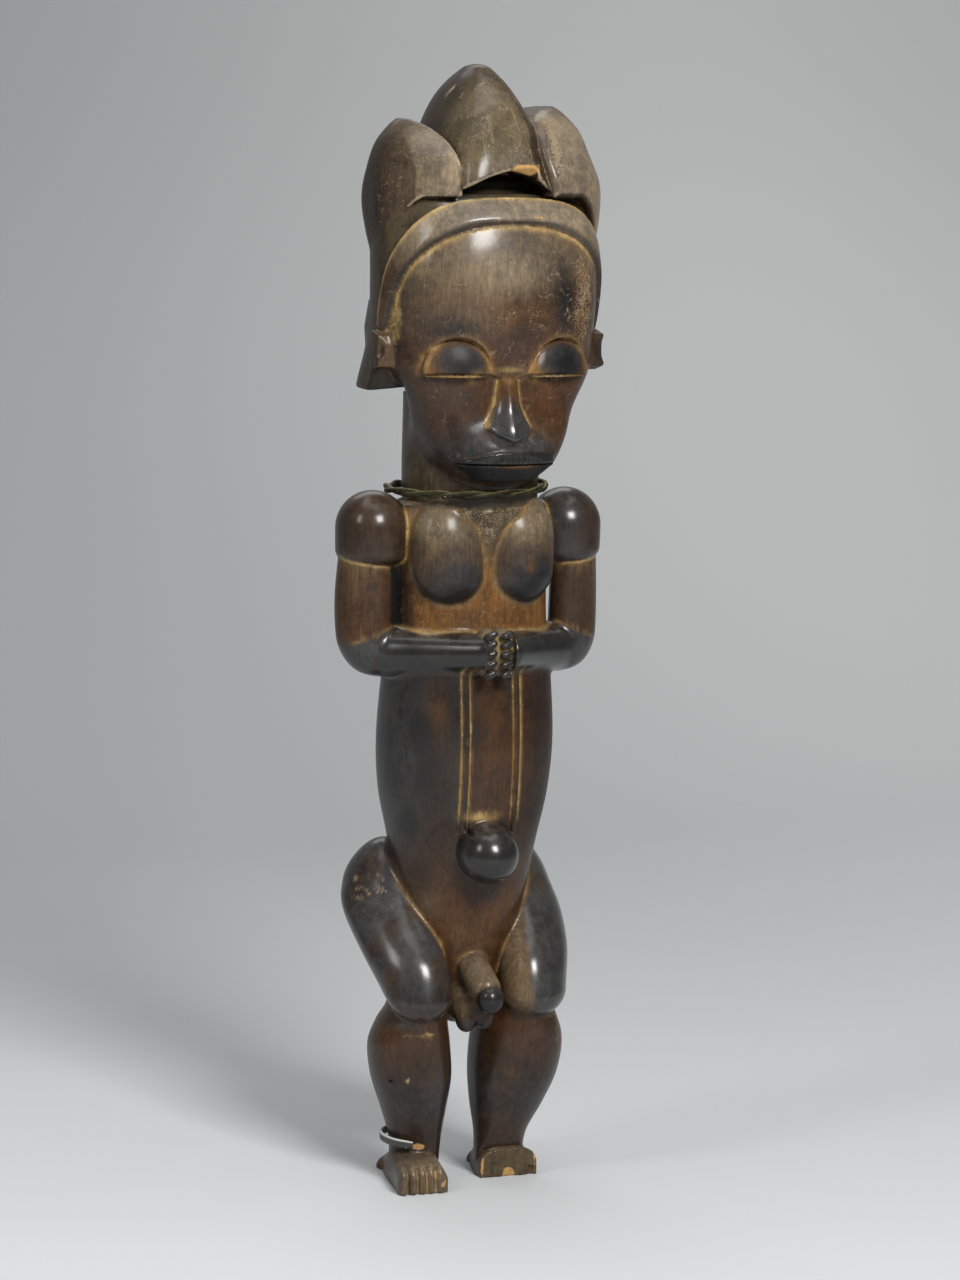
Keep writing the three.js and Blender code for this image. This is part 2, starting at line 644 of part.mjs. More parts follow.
// The whole figure as one solid
function figure() {
  const head = [face(), forehead(), neck(), ...eyes(), nose(), ...mouth(), ...ears(), diadem()];
  const crests = [middleCrest(), sideCrest(-1, 571, 0.5), sideCrest(1, 579, 5.5)];
  const body = [trunk(), ...breasts(), navel(), ...bellyRidges(), ...arms(), ...hands()];
  const lower = [...legs(), ...loins()];
  const rightToeX = -FOOT_X - FOOT.toeOut;
  const rightFoot = [footBlock(-FOOT_X, rightToeX), heelKnob(-FOOT_X - 2)];
  const leftFoot = [footBlock(FOOT_X - 1, FOOT_X + 1), heelKnob(FOOT_X)];
  const ground = new THREE.BoxGeometry(200, 200, 40).translate(0, 0, -20);
  const breakOff = new THREE.BoxGeometry(60, 60, 60).translate(FOOT_X, FOOT.breakY - 30, 20);

  let whole = joined([...head, ...crests, ...body, ...lower]).add(helmet());
  let feet = joined([...rightFoot]).subtract(joined(toeGrooves(rightToeX)));
  feet = feet.add(joined(leftFoot).subtract(solid(breakOff)));
  whole = whole.add(feet).subtract(solid(ground));
  return geometryOf(whole);
}

// Neck ring: wire strands twisted together, lying a little low on his right
const RING = { radius: 42, thick: 2.2, thin: 1.4, turns: 5, x: -2.5, z: 374.8, slope: 0.04 };
function neckRing() {
  const steps = 60;
  const sides = 6;
  const points = [];
  const faces = [];
  for (let i = 0; i < steps; i++) {
    const angle = (2 * Math.PI * i) / steps;
    for (let k = 0; k < sides; k++) {
      const round = (2 * Math.PI * k) / sides;
      const twist = RING.turns * angle;
      const along = RING.thick * Math.cos(round);
      const across = RING.thin * Math.sin(round);
      const out = along * Math.cos(twist) - across * Math.sin(twist);
      const up = along * Math.sin(twist) + across * Math.cos(twist);
      const x = (RING.radius + out) * Math.cos(angle);
      points.push(RING.x + x, (RING.radius + out) * Math.sin(angle), RING.z + RING.slope * x + up);
      const here = i * sides + k;
      const beside = i * sides + ((k + 1) % sides);
      const ahead = ((i + 1) % steps) * sides;
      faces.push(here, ahead + k, ahead + ((k + 1) % sides), here, ahead + ((k + 1) % sides), beside);
    }
  }
  return meshOf(points, faces);
}

// Anklet: an open strip of metal. Its front end is square, and it stands further off towards the heel.
const STRIP = { tall: 5, thick: 1.3, near: 15.6, far: 18.4, start: -112, sweep: -215 };
const STRIP_AT = { x: -26, y: -3.4, z: 22.6, rise: 3.2 };
function anklet() {
  const steps = 22;
  const points = [];
  const faces = [];
  for (let i = 0; i <= steps; i++) {
    const part = i / steps;
    const angle = THREE.MathUtils.degToRad(STRIP.start + STRIP.sweep * part);
    const inner = STRIP.near + (STRIP.far - STRIP.near) * part;
    const middle = STRIP_AT.z + STRIP_AT.rise * Math.sin((part * Math.PI) / 2);
    for (const [off, level] of [[0, -1], [1, -1], [1, 1], [0, 1]]) {
      const radius = inner + off * STRIP.thick;
      points.push(STRIP_AT.x + radius * Math.cos(angle), STRIP_AT.y + radius * Math.sin(angle));
      points.push(middle + (level * STRIP.tall) / 2);
    }
  }
  for (let i = 0; i < steps; i++) {
    for (let k = 0; k < 4; k++) {
      const a = 4 * i + k;
      const b = 4 * i + ((k + 1) % 4);
      faces.push(a, b, b + 4, a, b + 4, a + 4);
    }
  }
  const end = 4 * steps;
  faces.push(0, 3, 2, 0, 2, 1, end, end + 1, end + 2, end, end + 2, end + 3);
  return meshOf(points, faces);
}

// Materials as the pieces look: oiled dark wood, green-black copper wire, grey strip metal
const LOOKS = {
  wood: { color: 0x3b2a20, roughness: 0.5, metalness: 0 },
  copper: { color: 0x3c3f27, roughness: 0.7, metalness: 0.6 },
  iron: { color: 0x5d5c5b, roughness: 0.4, metalness: 0.9 },
};
function piece(name, geometry, look) {
  const mesh = new THREE.Mesh(geometry, new THREE.MeshStandardMaterial(LOOKS[look]));
  mesh.name = name;
  return mesh;
}

const root = new THREE.Group();
root.name = "guardian";
root.add(piece("figure", figure(), "wood"));
root.add(piece("neck_ring", neckRing(), "copper"));
root.add(piece("anklet", anklet(), "iron"));

export default root;
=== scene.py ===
# %% [markdown]
# # A wooden guardian figure
# The real object is a man carved from one block of hardwood and rubbed with oil and resin for years.
# The measured solid model is loaded first and stays as a fixed frame. Every piece made here keeps to it.

import math

import bpy
import numpy as np
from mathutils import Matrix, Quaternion, Vector


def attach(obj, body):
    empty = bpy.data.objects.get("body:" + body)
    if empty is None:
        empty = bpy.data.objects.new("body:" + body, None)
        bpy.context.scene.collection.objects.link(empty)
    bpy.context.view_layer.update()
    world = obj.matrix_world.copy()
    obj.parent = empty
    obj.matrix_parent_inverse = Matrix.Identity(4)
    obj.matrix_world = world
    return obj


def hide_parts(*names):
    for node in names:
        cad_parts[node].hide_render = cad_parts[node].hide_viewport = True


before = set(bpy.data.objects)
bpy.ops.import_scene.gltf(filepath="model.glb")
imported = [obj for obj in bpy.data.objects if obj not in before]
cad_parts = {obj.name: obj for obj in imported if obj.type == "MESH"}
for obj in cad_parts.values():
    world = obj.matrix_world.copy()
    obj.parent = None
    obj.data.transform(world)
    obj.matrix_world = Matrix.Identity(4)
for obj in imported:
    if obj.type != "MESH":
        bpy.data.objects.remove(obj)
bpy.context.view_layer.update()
scene = bpy.context.scene
scene.view_settings.view_transform = "Standard"

# %% [markdown]
# ## Driving dimensions
# The carving is worked out in millimetres, as on the bench, and turned into metres when a mesh is made.
# These heights and widths are those of the solid model. He faces -Y, and his own left is towards +X.

# %% Driving dimensions
MM = 0.001
CROTCH = 84
GROIN = 131
NAVEL = 185
HANDS = 291
ARMPIT = 336
COLLAR = 372
MOUTH = 391
NOSE_BASE = 405
EYE_LINE = 438.5
BAND = 519
BAND_HEIGHT = 14.5
TOP = 600
NECK_RADIUS = 36.2
FACE_X = 1.5
FOOT_X = 26.5
GRAIN_STEP = 0.85  # how finely the block of wood is divided, in millimetres
print("carving step:", GRAIN_STEP, "mm")

# %% [markdown]
# ## Forms
# A carver thinks in volumes that swell into each other: a ball for a shoulder, a horn for a forearm.
# Here a form is a rule that says how far outside it a place lies, in millimetres, and less than zero
# means wood. Boxes and cylinders could be joined by boolean modifiers instead, but rules can be blended
# with a soft crease of any width, which is just what a knife and years of handling do to an edge.


# %% Forms and how they meet
class Form:
    """A rule for how far outside it a place lies, and the box that the form keeps to."""

    def __init__(self, low, high, measure):
        self.low = np.array(low, float)
        self.high = np.array(high, float)
        self.measure = measure


def soft_least(a, b, soft):
    """The lesser of two values, with the corner between them rounded over a width."""
    share = np.clip(0.5 + 0.5 * (b - a) / soft, 0, 1)
    return b + (a - b) * share - soft * share * (1 - share)


def soft_most(a, b, soft):
    return -soft_least(-a, -b, soft)


def common(form, other, soft=0.6):
    """The wood that two forms share."""

    def measure(x, y, z):
        return soft_most(form.measure(x, y, z), other.measure(x, y, z), soft)

    return Form(form.low, form.high, measure)


def without(form, other, soft=0.6):
    """The first form after the second one is cut out of it."""

    def measure(x, y, z):
        return soft_most(form.measure(x, y, z), -other.measure(x, y, z), soft)

    return Form(form.low, form.high, measure)


print("a blend over 1 mm fills a crease by", float(-soft_least(0.0, 0.0, 1.0)), "mm")

# %% [markdown]
# Forms are moved, mirrored and turned as whole things. So one arm is worked out, and the other is its
# mirror image. A turn is a small table that says where each direction goes.


# %% Moves, mirrors and turns
def moved(form, x=0.0, y=0.0, z=0.0):
    way = np.array((x, y, z), float)
    return Form(form.low + way, form.high + way, lambda u, v, w: form.measure(u - x, v - y, w - z))


def mirrored(form):
    low, high = form.low.copy(), form.high.copy()
    low[0], high[0] = -form.high[0], -form.low[0]
    return Form(low, high, lambda x, y, z: form.measure(-x, y, z))


def both(form):
    return [form, mirrored(form)]


def about_z(angle):
    """The matrix of a turn about an upright line, anticlockwise as seen from above."""
    c, s = math.cos(angle), math.sin(angle)
    return [[c, -s, 0], [s, c, 0], [0, 0, 1]]


def turned(form, rotation):
    """The form after a turn about the origin, given as a 3x3 matrix."""
    m = np.array(rotation, np.float32)
    corners = np.array([[(form.low, form.high)[i >> k & 1][k] for k in range(3)] for i in range(8)]) @ m.T

    def measure(x, y, z):
        places = [m[0, k] * x + m[1, k] * y + m[2, k] * z for k in range(3)]
        return form.measure(*places)

    return Form(corners.min(0), corners.max(0), measure)


print("a quarter turn takes X to", [round(line[0], 3) for line in about_z(math.pi / 2)])

# %% [markdown]
# Most of him is lofted: a smooth run of oval sections up a line, each with its own half width, front
# and back depth, centre and squareness, as the solid model has them. The ends can be domes. Balls and
# boxes would need many more pieces for a leg that a carver shapes in one long sweep.


# %% Lofts
def row(at, wide, front=None, back=None, x=0.0, y=0.0, square=2.0, square_back=None):
    """One section of a loft. In front it is as deep as wide if nothing is given, and behind as in front."""
    front = wide if front is None else front
    back = front if back is None else back
    square_back = square if square_back is None else square_back
    return (at, wide, front, back, x, y, square, square_back)


LOFT_HEIGHTS = 200


def smooth_columns(rows, count=LOFT_HEIGHTS):
    """Rows read smoothly at many places: their heights, and one column for each other measure."""
    rows = np.array(rows, float)
    at, values = rows[:, 0], rows[:, 1:]
    last = len(at) - 1
    ahead, behind = np.minimum(np.arange(last + 1) + 1, last), np.maximum(np.arange(last + 1) - 1, 0)
    slope = (values[ahead] - values[behind]) / (at[ahead] - at[behind])[:, None]
    fine = np.linspace(at[0], at[last], count)
    i = np.clip(np.searchsorted(at, fine, side="right") - 1, 0, last - 1)
    step = (at[i + 1] - at[i])[:, None]
    t = (fine - at[i])[:, None] / step
    curve = (2 * t**3 - 3 * t**2 + 1) * values[i] + (t**3 - 2 * t**2 + t) * step * slope[i]
    curve += (3 * t**2 - 2 * t**3) * values[i + 1] + (t**3 - t**2) * step * slope[i + 1]
    return fine, curve.T.astype(np.float32)


def loft(rows, dome_bottom=0.0, dome_top=0.0, turn=0.0):
    """A form through sections at rising heights, with flat ends or domes, turned about its own line."""
    at, (wides, fronts, backs, xs, ys, squares, squares_back) = smooth_columns(rows)
    low, high = at[0], at[-1]
    c, s = math.cos(turn), math.sin(turn)
    oval = squares.max() == 2 and squares.min() == 2 and squares_back.max() == 2

    def measure(x, y, z):
        read = lambda column: np.interp(z, at, column).astype(np.float32)
        dx, dy = x - read(xs), y - read(ys)
        across, inward = (dx, dy) if not turn else (dx * c + dy * s, dy * c - dx * s)
        wide = read(wides)
        deep = np.where(inward < 0, read(fronts), read(backs))
        ra, ri = np.abs(across) / wide + 1e-5, np.abs(inward) / deep + 1e-5
        if oval:
            r = np.sqrt(ra * ra + ri * ri)
            slope = np.sqrt((ra / wide) ** 2 + (ri / deep) ** 2) / r
        else:
            p = np.where(inward < 0, read(squares), read(squares_back))
            r = (ra**p + ri**p) ** (1 / p)
            slope = np.sqrt((ra ** (p - 1) / wide) ** 2 + (ri ** (p - 1) / deep) ** 2) * r ** (1 - p)
        over = np.maximum(0, z - (high - dome_top)) / dome_top if dome_top else 0 * z
        under = np.maximum(0, (low + dome_bottom) - z) / dome_bottom if dome_bottom else 0 * z
        end = over + under
        rate = np.where(over > 0, 1 / dome_top if dome_top else 0, 1 / dome_bottom if dome_bottom else 0)
        whole = np.sqrt(r * r + end * end)
        out = (whole - 1) * whole / np.sqrt((r * slope) ** 2 + (end * rate) ** 2 + 1e-9)
        if not dome_top:
            out = np.maximum(out, z - high)
        if not dome_bottom:
            out = np.maximum(out, low - z)
        return out

    spun = max(wides.max(), fronts.max(), backs.max()) if turn else 0
    half_x, half_front, half_back = (max(spun, column.max()) for column in (wides, fronts, backs))
    return Form(
        (xs.min() - half_x, ys.min() - half_front, low),
        (xs.max() + half_x, ys.max() + half_back, high),
        measure,
    )


print("a loft is read at", LOFT_HEIGHTS, "heights")

# %% [markdown]
# Balls, limbs, blocks and planes do the rest: balls for what bulges, limbs for fingers and arms, and
# blocks and planes mostly for what a saw or a knife takes away.


# %% Balls, limbs, blocks and planes
def ball(centre, wide, deep=None, tall=None):
    radii = np.array((wide, deep or wide, tall or wide), float)
    centre = np.array(centre, float)

    def measure(x, y, z):
        parts = [(p - c) / r for p, c, r in zip((x, y, z), centre, radii)]
        r = np.sqrt(sum(p * p for p in parts) + 1e-6)
        return (r - 1) * r / np.sqrt(sum((p / q) ** 2 for p, q in zip(parts, radii)) + 1e-9)

    return Form(centre - radii, centre + radii, measure)


def limb(start, end, radii):
    """A turned limb with round ends, with a radius at each equal step."""
    start, end = Vector(start), Vector(end)
    length = (end - start).length + radii[0] + radii[-1]
    rows = []
    for i, radius in enumerate(radii):
        rows.append(row(-radii[0] + length * i / (len(radii) - 1), radius))
    upright = loft(rows, dome_bottom=radii[0], dome_top=radii[-1])
    turn = Vector((0, 0, 1)).rotation_difference(end - start).to_matrix()
    return moved(turned(upright, turn), *start)


def block(low, high):
    low, high = np.array(low, float), np.array(high, float)
    middle, half = (low + high) / 2, (high - low) / 2

    def measure(x, y, z):
        parts = [np.abs(p - c) - h for p, c, h in zip((x, y, z), middle, half)]
        return np.maximum(np.maximum(parts[0], parts[1]), parts[2])

    return Form(low, high, measure)


def beyond(place, way):
    """All space on the side of a plane that the arrow points to."""
    way = np.array(way, float) / np.linalg.norm(way)
    far = 1000.0
    level = float(np.dot(way, place))
    return Form((-far,) * 3, (far,) * 3, lambda x, y, z: level - (way[0] * x + way[1] * y + way[2] * z))


ten_wide = ball((0, 0, 0), 10)
print("12 mm from the middle of a 10 mm ball is", round(float(ten_wide.measure(12, 0, 0)), 2), "mm outside")

# %% [markdown]
# The diadem, the ears and the arches of the crests are flat outlines pushed straight through the head,
# as a carver saws along a drawn line first and rounds the edges afterwards.


# %% Outlines pushed through
def outline_distance(points, u, v):
    """How far outside a flat outline each place lies, and less than zero inside it."""
    shape = np.broadcast(u, v).shape
    near = np.full(shape, 1e9, np.float32)
    side = np.ones(shape, np.float32)
    for (ax, ay), (bx, by) in zip(points, points[1:] + points[:1]):
        ex, ey = bx - ax, by - ay
        wx, wy = u - ax, v - ay
        t = np.clip((wx * ex + wy * ey) / (ex * ex + ey * ey), 0, 1)
        near = np.minimum(near, (wx - ex * t) ** 2 + (wy - ey * t) ** 2)
        starts, ends, left = v >= ay, v < by, ex * wy > ey * wx
        side = np.where((starts & ends & left) | (~starts & ~ends & ~left), -side, side)
    return side * np.sqrt(near)


def pushed_along_y(points, front, back):
    """An outline of x and z, pushed from front to back."""
    us, vs = zip(*points)

    def measure(x, y, z):
        return np.maximum(outline_distance(points, x, z), np.abs(y - (front + back) / 2) - (back - front) / 2)

    return Form((min(us), front, min(vs)), (max(us), back, max(vs)), measure)


def pushed_along_x(points, right, left):
    """An outline of y and z, pushed from his right to his left."""
    us, vs = zip(*points)

    def measure(x, y, z):
        return np.maximum(outline_distance(points, y, z), np.abs(x - (right + left) / 2) - (left - right) / 2)

    return Form((right, min(us), min(vs)), (left, max(us), max(vs)), measure)


BEND_STEPS = 8


def bend(start, pull, end):
    """Points of a curve that is pulled towards one place."""
    t = np.linspace(0, 1, BEND_STEPS + 1)[1:, None]
    a, b, c = (np.array(p, float) for p in (start, pull, end))
    return [tuple(p) for p in (1 - t) ** 2 * a + 2 * t * (1 - t) * b + t**2 * c]


print("a bend is drawn with", len(bend((0, 0), (1, 2), (3, 1))), "points")

# %% [markdown]
# ## The block of wood
# The block is a grid of places. Adding a form swells the wood, cutting takes it away, and each place
# remembers which form made it, so that the finish can follow the carving later.


# %% The block
class Block:
    """A grid of places that know how far outside the wood they lie, and which form put them there."""

    def __init__(self, low, high, step):
        self.low, self.step = np.array(low, np.float32), step
        self.axes = [np.arange(a, b + step, step, dtype=np.float32) for a, b in zip(low, high)]
        self.wood = np.full([len(axis) for axis in self.axes], 9.0, np.float32)
        self.maker = np.zeros(self.wood.shape, np.uint8)
        self.names = ["none"]

    def near(self, form, margin):
        """The part of the grid round a form, as slices and as places."""
        spans = [
            slice(*np.searchsorted(axis, (a - margin, b + margin)))
            for axis, a, b in zip(self.axes, form.low, form.high)
        ]
        x, y, z = (axis[span] for axis, span in zip(self.axes, spans))
        return tuple(spans), (x[:, None, None], y[None, :, None], z[None, None, :])

    def add(self, name, forms, soft=1.0):
        if name not in self.names:
            self.names.append(name)
        for form in forms if isinstance(forms, list) else [forms]:
            spans, places = self.near(form, soft + 2.5)
            new, old = form.measure(*places).astype(np.float32), self.wood[spans]
            self.maker[spans][new < old] = self.names.index(name)
            self.wood[spans] = soft_least(old, new, soft)

    def cut(self, forms, soft=0.6):
        for form in forms if isinstance(forms, list) else [forms]:
            spans, places = self.near(form, soft + 1.5)
            self.wood[spans] = soft_most(self.wood[spans], -form.measure(*places), soft)

    def report(self):
        print("places of wood so far:", int((self.wood < 0).sum()))

    def fullness(self, radius):
        """How much of the space round each place is wood: over a half in a hollow, under it on an edge."""
        share = np.clip(0.5 - self.wood / (2 * self.step), 0, 1)
        reach = max(1, round(radius / self.step))
        for axis in range(3):
            margins = [(reach + 1, reach) if k == axis else (0, 0) for k in range(3)]
            for _ in range(2):
                padded = np.pad(share, margins, "edge")
                total = np.cumsum(padded, axis=axis, dtype=np.float32)
                ahead = np.take(total, range(2 * reach + 1, total.shape[axis]), axis=axis)
                behind = np.take(total, range(0, total.shape[axis] - 2 * reach - 1), axis=axis)
                share = (ahead - behind) / (2 * reach + 1)
        return share

    def read(self, grid, points):
        """The grid's value at each point, smoothly between its places."""
        place = (points - self.low) / self.step
        place = np.clip(place, 0, np.array(grid.shape) - 1.001)
        i = place.astype(int)
        f = (place - i).astype(np.float32)
        out = np.zeros(len(points), np.float32)
        for corner in range(8):
            d = [corner >> k & 1 for k in range(3)]
            weight = np.prod([f[:, k] if d[k] else 1 - f[:, k] for k in range(3)], axis=0)
            out += weight * grid[i[:, 0] + d[0], i[:, 1] + d[1], i[:, 2] + d[2]]
        return out


print("a block 10 mm wide has", len(Block((0,) * 3, (10,) * 3, GRAIN_STEP).axes[0]), "places across")

# %% [markdown]
# The skin between wood and air becomes a mesh by surface nets: one point in every cell that the skin
# crosses, placed at the mean of the crossings, and one face for every grid edge that it cuts.


# %% Skin of a block
def skin(made):
    """Points and four-sided faces where the wood of a block meets the air."""
    wood = made.wood
    inside = wood < 0
    nx, ny, nz = wood.shape
    sx, sy = ny * nz, nz
    strides = (sx, sy, 1)
    cells = np.zeros((nx - 1, ny - 1, nz - 1), np.uint8)
    for corner in range(8):
        d = [corner >> k & 1 for k in range(3)]
        cells += inside[d[0] : nx - 1 + d[0], d[1] : ny - 1 + d[1], d[2] : nz - 1 + d[2]]
    live = np.argwhere((cells > 0) & (cells < 8))
    base = live @ np.array(strides)
    flat = wood.ravel()
    total = np.zeros((len(live), 3), np.float32)
    count = np.zeros(len(live), np.float32)
    for axis in range(3):
        others = [k for k in range(3) if k != axis]
        for side in range(4):
            shift = np.zeros(3, int)
            shift[others[0]], shift[others[1]] = side & 1, side >> 1
            a = flat[base + shift @ np.array(strides)]
            b = flat[base + shift @ np.array(strides) + strides[axis]]
            crossed = (a < 0) != (b < 0)
            place = np.broadcast_to(shift, (len(live), 3)).astype(np.float32)
            place[:, axis] = np.where(crossed, a / np.where(a == b, 1, a - b), 0)
            total += place * crossed[:, None]
            count += crossed
    points = made.low + (live + total / count[:, None]) * made.step
    index = np.full(cells.shape, -1, np.int32)
    index[tuple(live.T)] = np.arange(len(live))
    faces = []
    for axis in range(3):
        u, v = (axis + 1) % 3, (axis + 2) % 3
        span = [slice(1, n - 1) for n in wood.shape]
        span[axis] = slice(0, wood.shape[axis] - 1)
        ahead = list(span)
        ahead[axis] = slice(1, wood.shape[axis])
        here, there = inside[tuple(span)], inside[tuple(ahead)]
        edges = np.argwhere(here != there)
        solid_first = here[tuple(edges.T)]
        edges += [0 if k == axis else 1 for k in range(3)]
        ring = []
        for du, dv in ((0, 0), (-1, 0), (-1, -1), (0, -1)):
            cell = edges.copy()
            cell[:, u] += du
            cell[:, v] += dv
            ring.append(index[tuple(cell.T)])
        quads = np.stack(ring, 1)
        quads[~solid_first] = quads[~solid_first][:, ::-1]
        faces.append(quads)
    return points.astype(np.float32), np.concatenate(faces)


print("surface nets are ready for blocks of", GRAIN_STEP, "mm")

# %% [markdown]
# The net still shows the steps of the grid, so each point is pushed towards its neighbours and back out
# again, which evens the steps and keeps the form. Then faces are taken away where the wood is plain.


# %% Smooth and lighter meshes
RELAX_ROUNDS, PUSH_IN, PUSH_OUT = 2, 0.5, -0.52


def relax(points, faces):
    """Evens out the small steps of the grid without shrinking the form."""
    edges = np.concatenate([faces[:, [k, (k + 1) % 4]] for k in range(4)])
    ends = np.concatenate([edges, edges[:, ::-1]])
    number = np.bincount(ends[:, 0], minlength=len(points))[:, None]
    for _ in range(RELAX_ROUNDS):
        for push in (PUSH_IN, PUSH_OUT):
            around = [np.bincount(ends[:, 0], points[ends[:, 1], k], len(points)) for k in range(3)]
            points = points + push * (np.stack(around, 1) / number - points)
    return points.astype(np.float32)


def mesh_piece(name, points, faces):
    """A Blender object from points in millimetres and faces of three or four corners."""
    mesh = bpy.data.meshes.new(name)
    faces = np.ascontiguousarray(faces, np.int32)
    mesh.vertices.add(len(points))
    mesh.vertices.foreach_set("co", (np.asarray(points, np.float32) * MM).ravel())
    mesh.loops.add(faces.size)
    mesh.loops.foreach_set("vertex_index", faces.ravel())
    mesh.polygons.add(len(faces))
    mesh.polygons.foreach_set("loop_start", np.arange(0, faces.size, faces.shape[1], dtype=np.int32))
    mesh.update(calc_edges=True)
    mesh.validate()
    piece = bpy.data.objects.new(name, mesh)
    scene.collection.objects.link(piece)
    mesh.shade_smooth()
    return piece


def thin_out(piece, triangles):
    """Leaves fewer faces, and those where the carving needs them."""
    have = sum(len(face.vertices) - 2 for face in piece.data.polygons)
    if have <= triangles:
        return
    fewer = piece.modifiers.new("Fewer faces", "DECIMATE")
    fewer.ratio = triangles / have
    ready = piece.evaluated_get(bpy.context.evaluated_depsgraph_get())
    mesh = bpy.data.meshes.new_from_object(ready)
    piece.modifiers.clear()
    piece.data = mesh
    mesh.shade_smooth()


MOST_TRIANGLES = 190000
print("each half of the carving gets at most", MOST_TRIANGLES, "triangles")

# %% [markdown]
# ## Torso
# The trunk is one long barrel, narrow at the loins, full at the belly and squarer at the armpits. A
# turned cylinder would be as round behind as in front, so it is lofted with two depths in each row.

# %% Trunk
body = Block((-78, -62, -2), (78, 50, 379), GRAIN_STEP)
trunk = loft(
    [
        row(CROTCH, 15, 15, 20, y=2),
        row(104, 19, 20, 25, y=2),
        row(GROIN, 29, 27, 32, y=2),
        row(158, 35.5, 34, 36, y=2),
        row(NAVEL, 40, 39, 37, y=2, square=2.1),
        row(212, 45.5, 42, 39, y=2, square=2.2),
        row(240, 47.5, 42, 38, y=1, square=2.25),
        row(275, 45.5, 38, 36, square=2.3),
        row(305, 42.5, 33, 34, square=2.4),
        row(ARMPIT, 42.5, 29, 34, square=2.5),
        row(356, 43, 28.5, 33, square=2.5),
        row(COLLAR, 40, 29, 31, square=2.3),
    ],
    dome_bottom=12,
    dome_top=7,
)
body.add("trunk", trunk)
print("trunk reaches from", trunk.low.round(1), "to", trunk.high.round(1))

# %% [markdown]
# The breasts are broad and low, and the navel is a great button. The carver left two lines standing
# down the belly, so each is a strip of skin raised by a millimetre, with a knife cut on either side.

# %% Breasts, navel and belly lines
BREAST_X = 20.4
breast = loft(
    [
        row(312, 16.3, 16, x=-1.4),
        row(328, 19.2, 18, x=-0.6),
        row(343, 19.6, 16.8),
        row(358, 19, 14.8),
        row(374, 17, 12),
    ],
    dome_bottom=18,
    dome_top=22,
    turn=0.1,
)
body.add("breast", both(moved(breast, BREAST_X, -20.5)), soft=2.2)
body.add("navel", limb((-1, -33, NAVEL), (-1.5, -45, NAVEL - 3), [16, 16, 13.5]), soft=1.2)
BELLY_LINE_X, BELLY_CUTS = 14.5, (-2.3, 2.3)
LINE_FOOT, LINE_TOP, KNIFE_HALF = NAVEL + 8, HANDS - 6, 0.6
belly_skin = Form(trunk.low, trunk.high, lambda x, y, z: trunk.measure(x, y, z) - 1.0)
belly_core = Form(trunk.low, trunk.high, lambda x, y, z: trunk.measure(x, y, z) + 1.1)
for side in (-1, 1):
    x = side * BELLY_LINE_X
    strip = block((x - 1.2, -50, LINE_FOOT), (x + 1.2, -20, LINE_TOP))
    body.add("belly line", common(strip, belly_skin), soft=0.5)
    for edge in BELLY_CUTS:
        knife = block((x + edge - KNIFE_HALF, -50, LINE_FOOT), (x + edge + KNIFE_HALF, -20, LINE_TOP))
        body.cut(without(knife, belly_core, 0.2), soft=0.3)
body.report()

# %% [markdown]
# The throat fills the corner between the chest and the neck, and a shallow groove marks the spine.

# %% Throat and spine
throat = loft(
    [
        row(332, 6, 29, 18),
        row(346, 11, 32.5, 22),
        row(356, 19, 36, 26),
        row(364, 33, 38.2, 30),
        row(COLLAR - 1, 38.5, 38.3, 32),
    ],
    dome_bottom=6,
    dome_top=6,
)
body.add("throat", throat, soft=2)
body.add("throat", loft([row(360, 35), row(379, 35)]), soft=0.8)
spine = limb((0, 46, 345), (0, 46.5, 205), [9, 9.5, 9.5])
body.cut(spine, soft=3)
print("torso block:", body.wood.shape)

# %% [markdown]
# ## Arms and hands
# A shoulder that is round above and flat below, an oval upper arm and a forearm like a horn meet in
# crisp creases, because each is cut as a form of its own. One bent arm swept in a single run would
# lose those creases. The hands meet fingertip to fingertip in front of the belly.

# %% Arms and hands
shoulder = loft(
    [row(331.5, 18.8, 19.4), row(343, 19.5, 20), row(354, 19.7, 20.2), row(373.8, 19.7, 20.2)],
    dome_bottom=10,
    dome_top=20.2,
)
body.add("shoulder", both(moved(shoulder, 55.3)), soft=1.2)
upper_arm = loft(
    [row(276, 14.4, 12.6, x=-3.5), row(298, 15.2, 12.4, x=-0.5), row(318, 15.6, 12), row(344, 13.5, 11.5)],
    dome_bottom=20,
)
ARM_TURN = math.radians(40)
body.add("upper arm", both(moved(turned(upper_arm, about_z(ARM_TURN)), 60.4, -2)), soft=0.7)
forearm = limb((50, -3.5, 287.5), (6, -43, HANDS), [13.2, 13.2, 12.6, 11.4, 10.5, 10, 9.6])
forearm = without(forearm, beyond((7.6, 0, 0), (-1, 0, 0)), 1.2)
body.add("forearm", both(forearm), soft=3)
HANDS_X = -1.7
FINGER_STEP = 5.2
palm = loft(
    [row(HANDS - 13, 4.5, 5), row(HANDS, 5.4, 7, square=3), row(HANDS + 13, 4.5, 5)],
    dome_bottom=4,
    dome_top=4,
)
for hand in both(moved(palm, 4.2, -42.5)):
    body.add("palm", moved(hand, HANDS_X), soft=1.0)
for side, rise in ((-1, 2.2), (1, -1.2)):
    for k in range(5):
        level = HANDS - 0.5 + (k - 2) * FINGER_STEP
        tip = (HANDS_X + side * 2.6, -50.8, level + rise / 2)
        knuckle = (HANDS_X + side * 6.6, -50.2, level - rise / 2)
        body.add("finger", limb(tip, knuckle, [1.7, 2.0, 2.1, 2.0]), soft=0.2)
body.report()

# %% [markdown]
# ## Legs and loins
# Heavy thighs sweep forward from the hips to bent knees. Both come from one loft that leans as it
# rises, and a plane takes a little off the outer side of his right one.

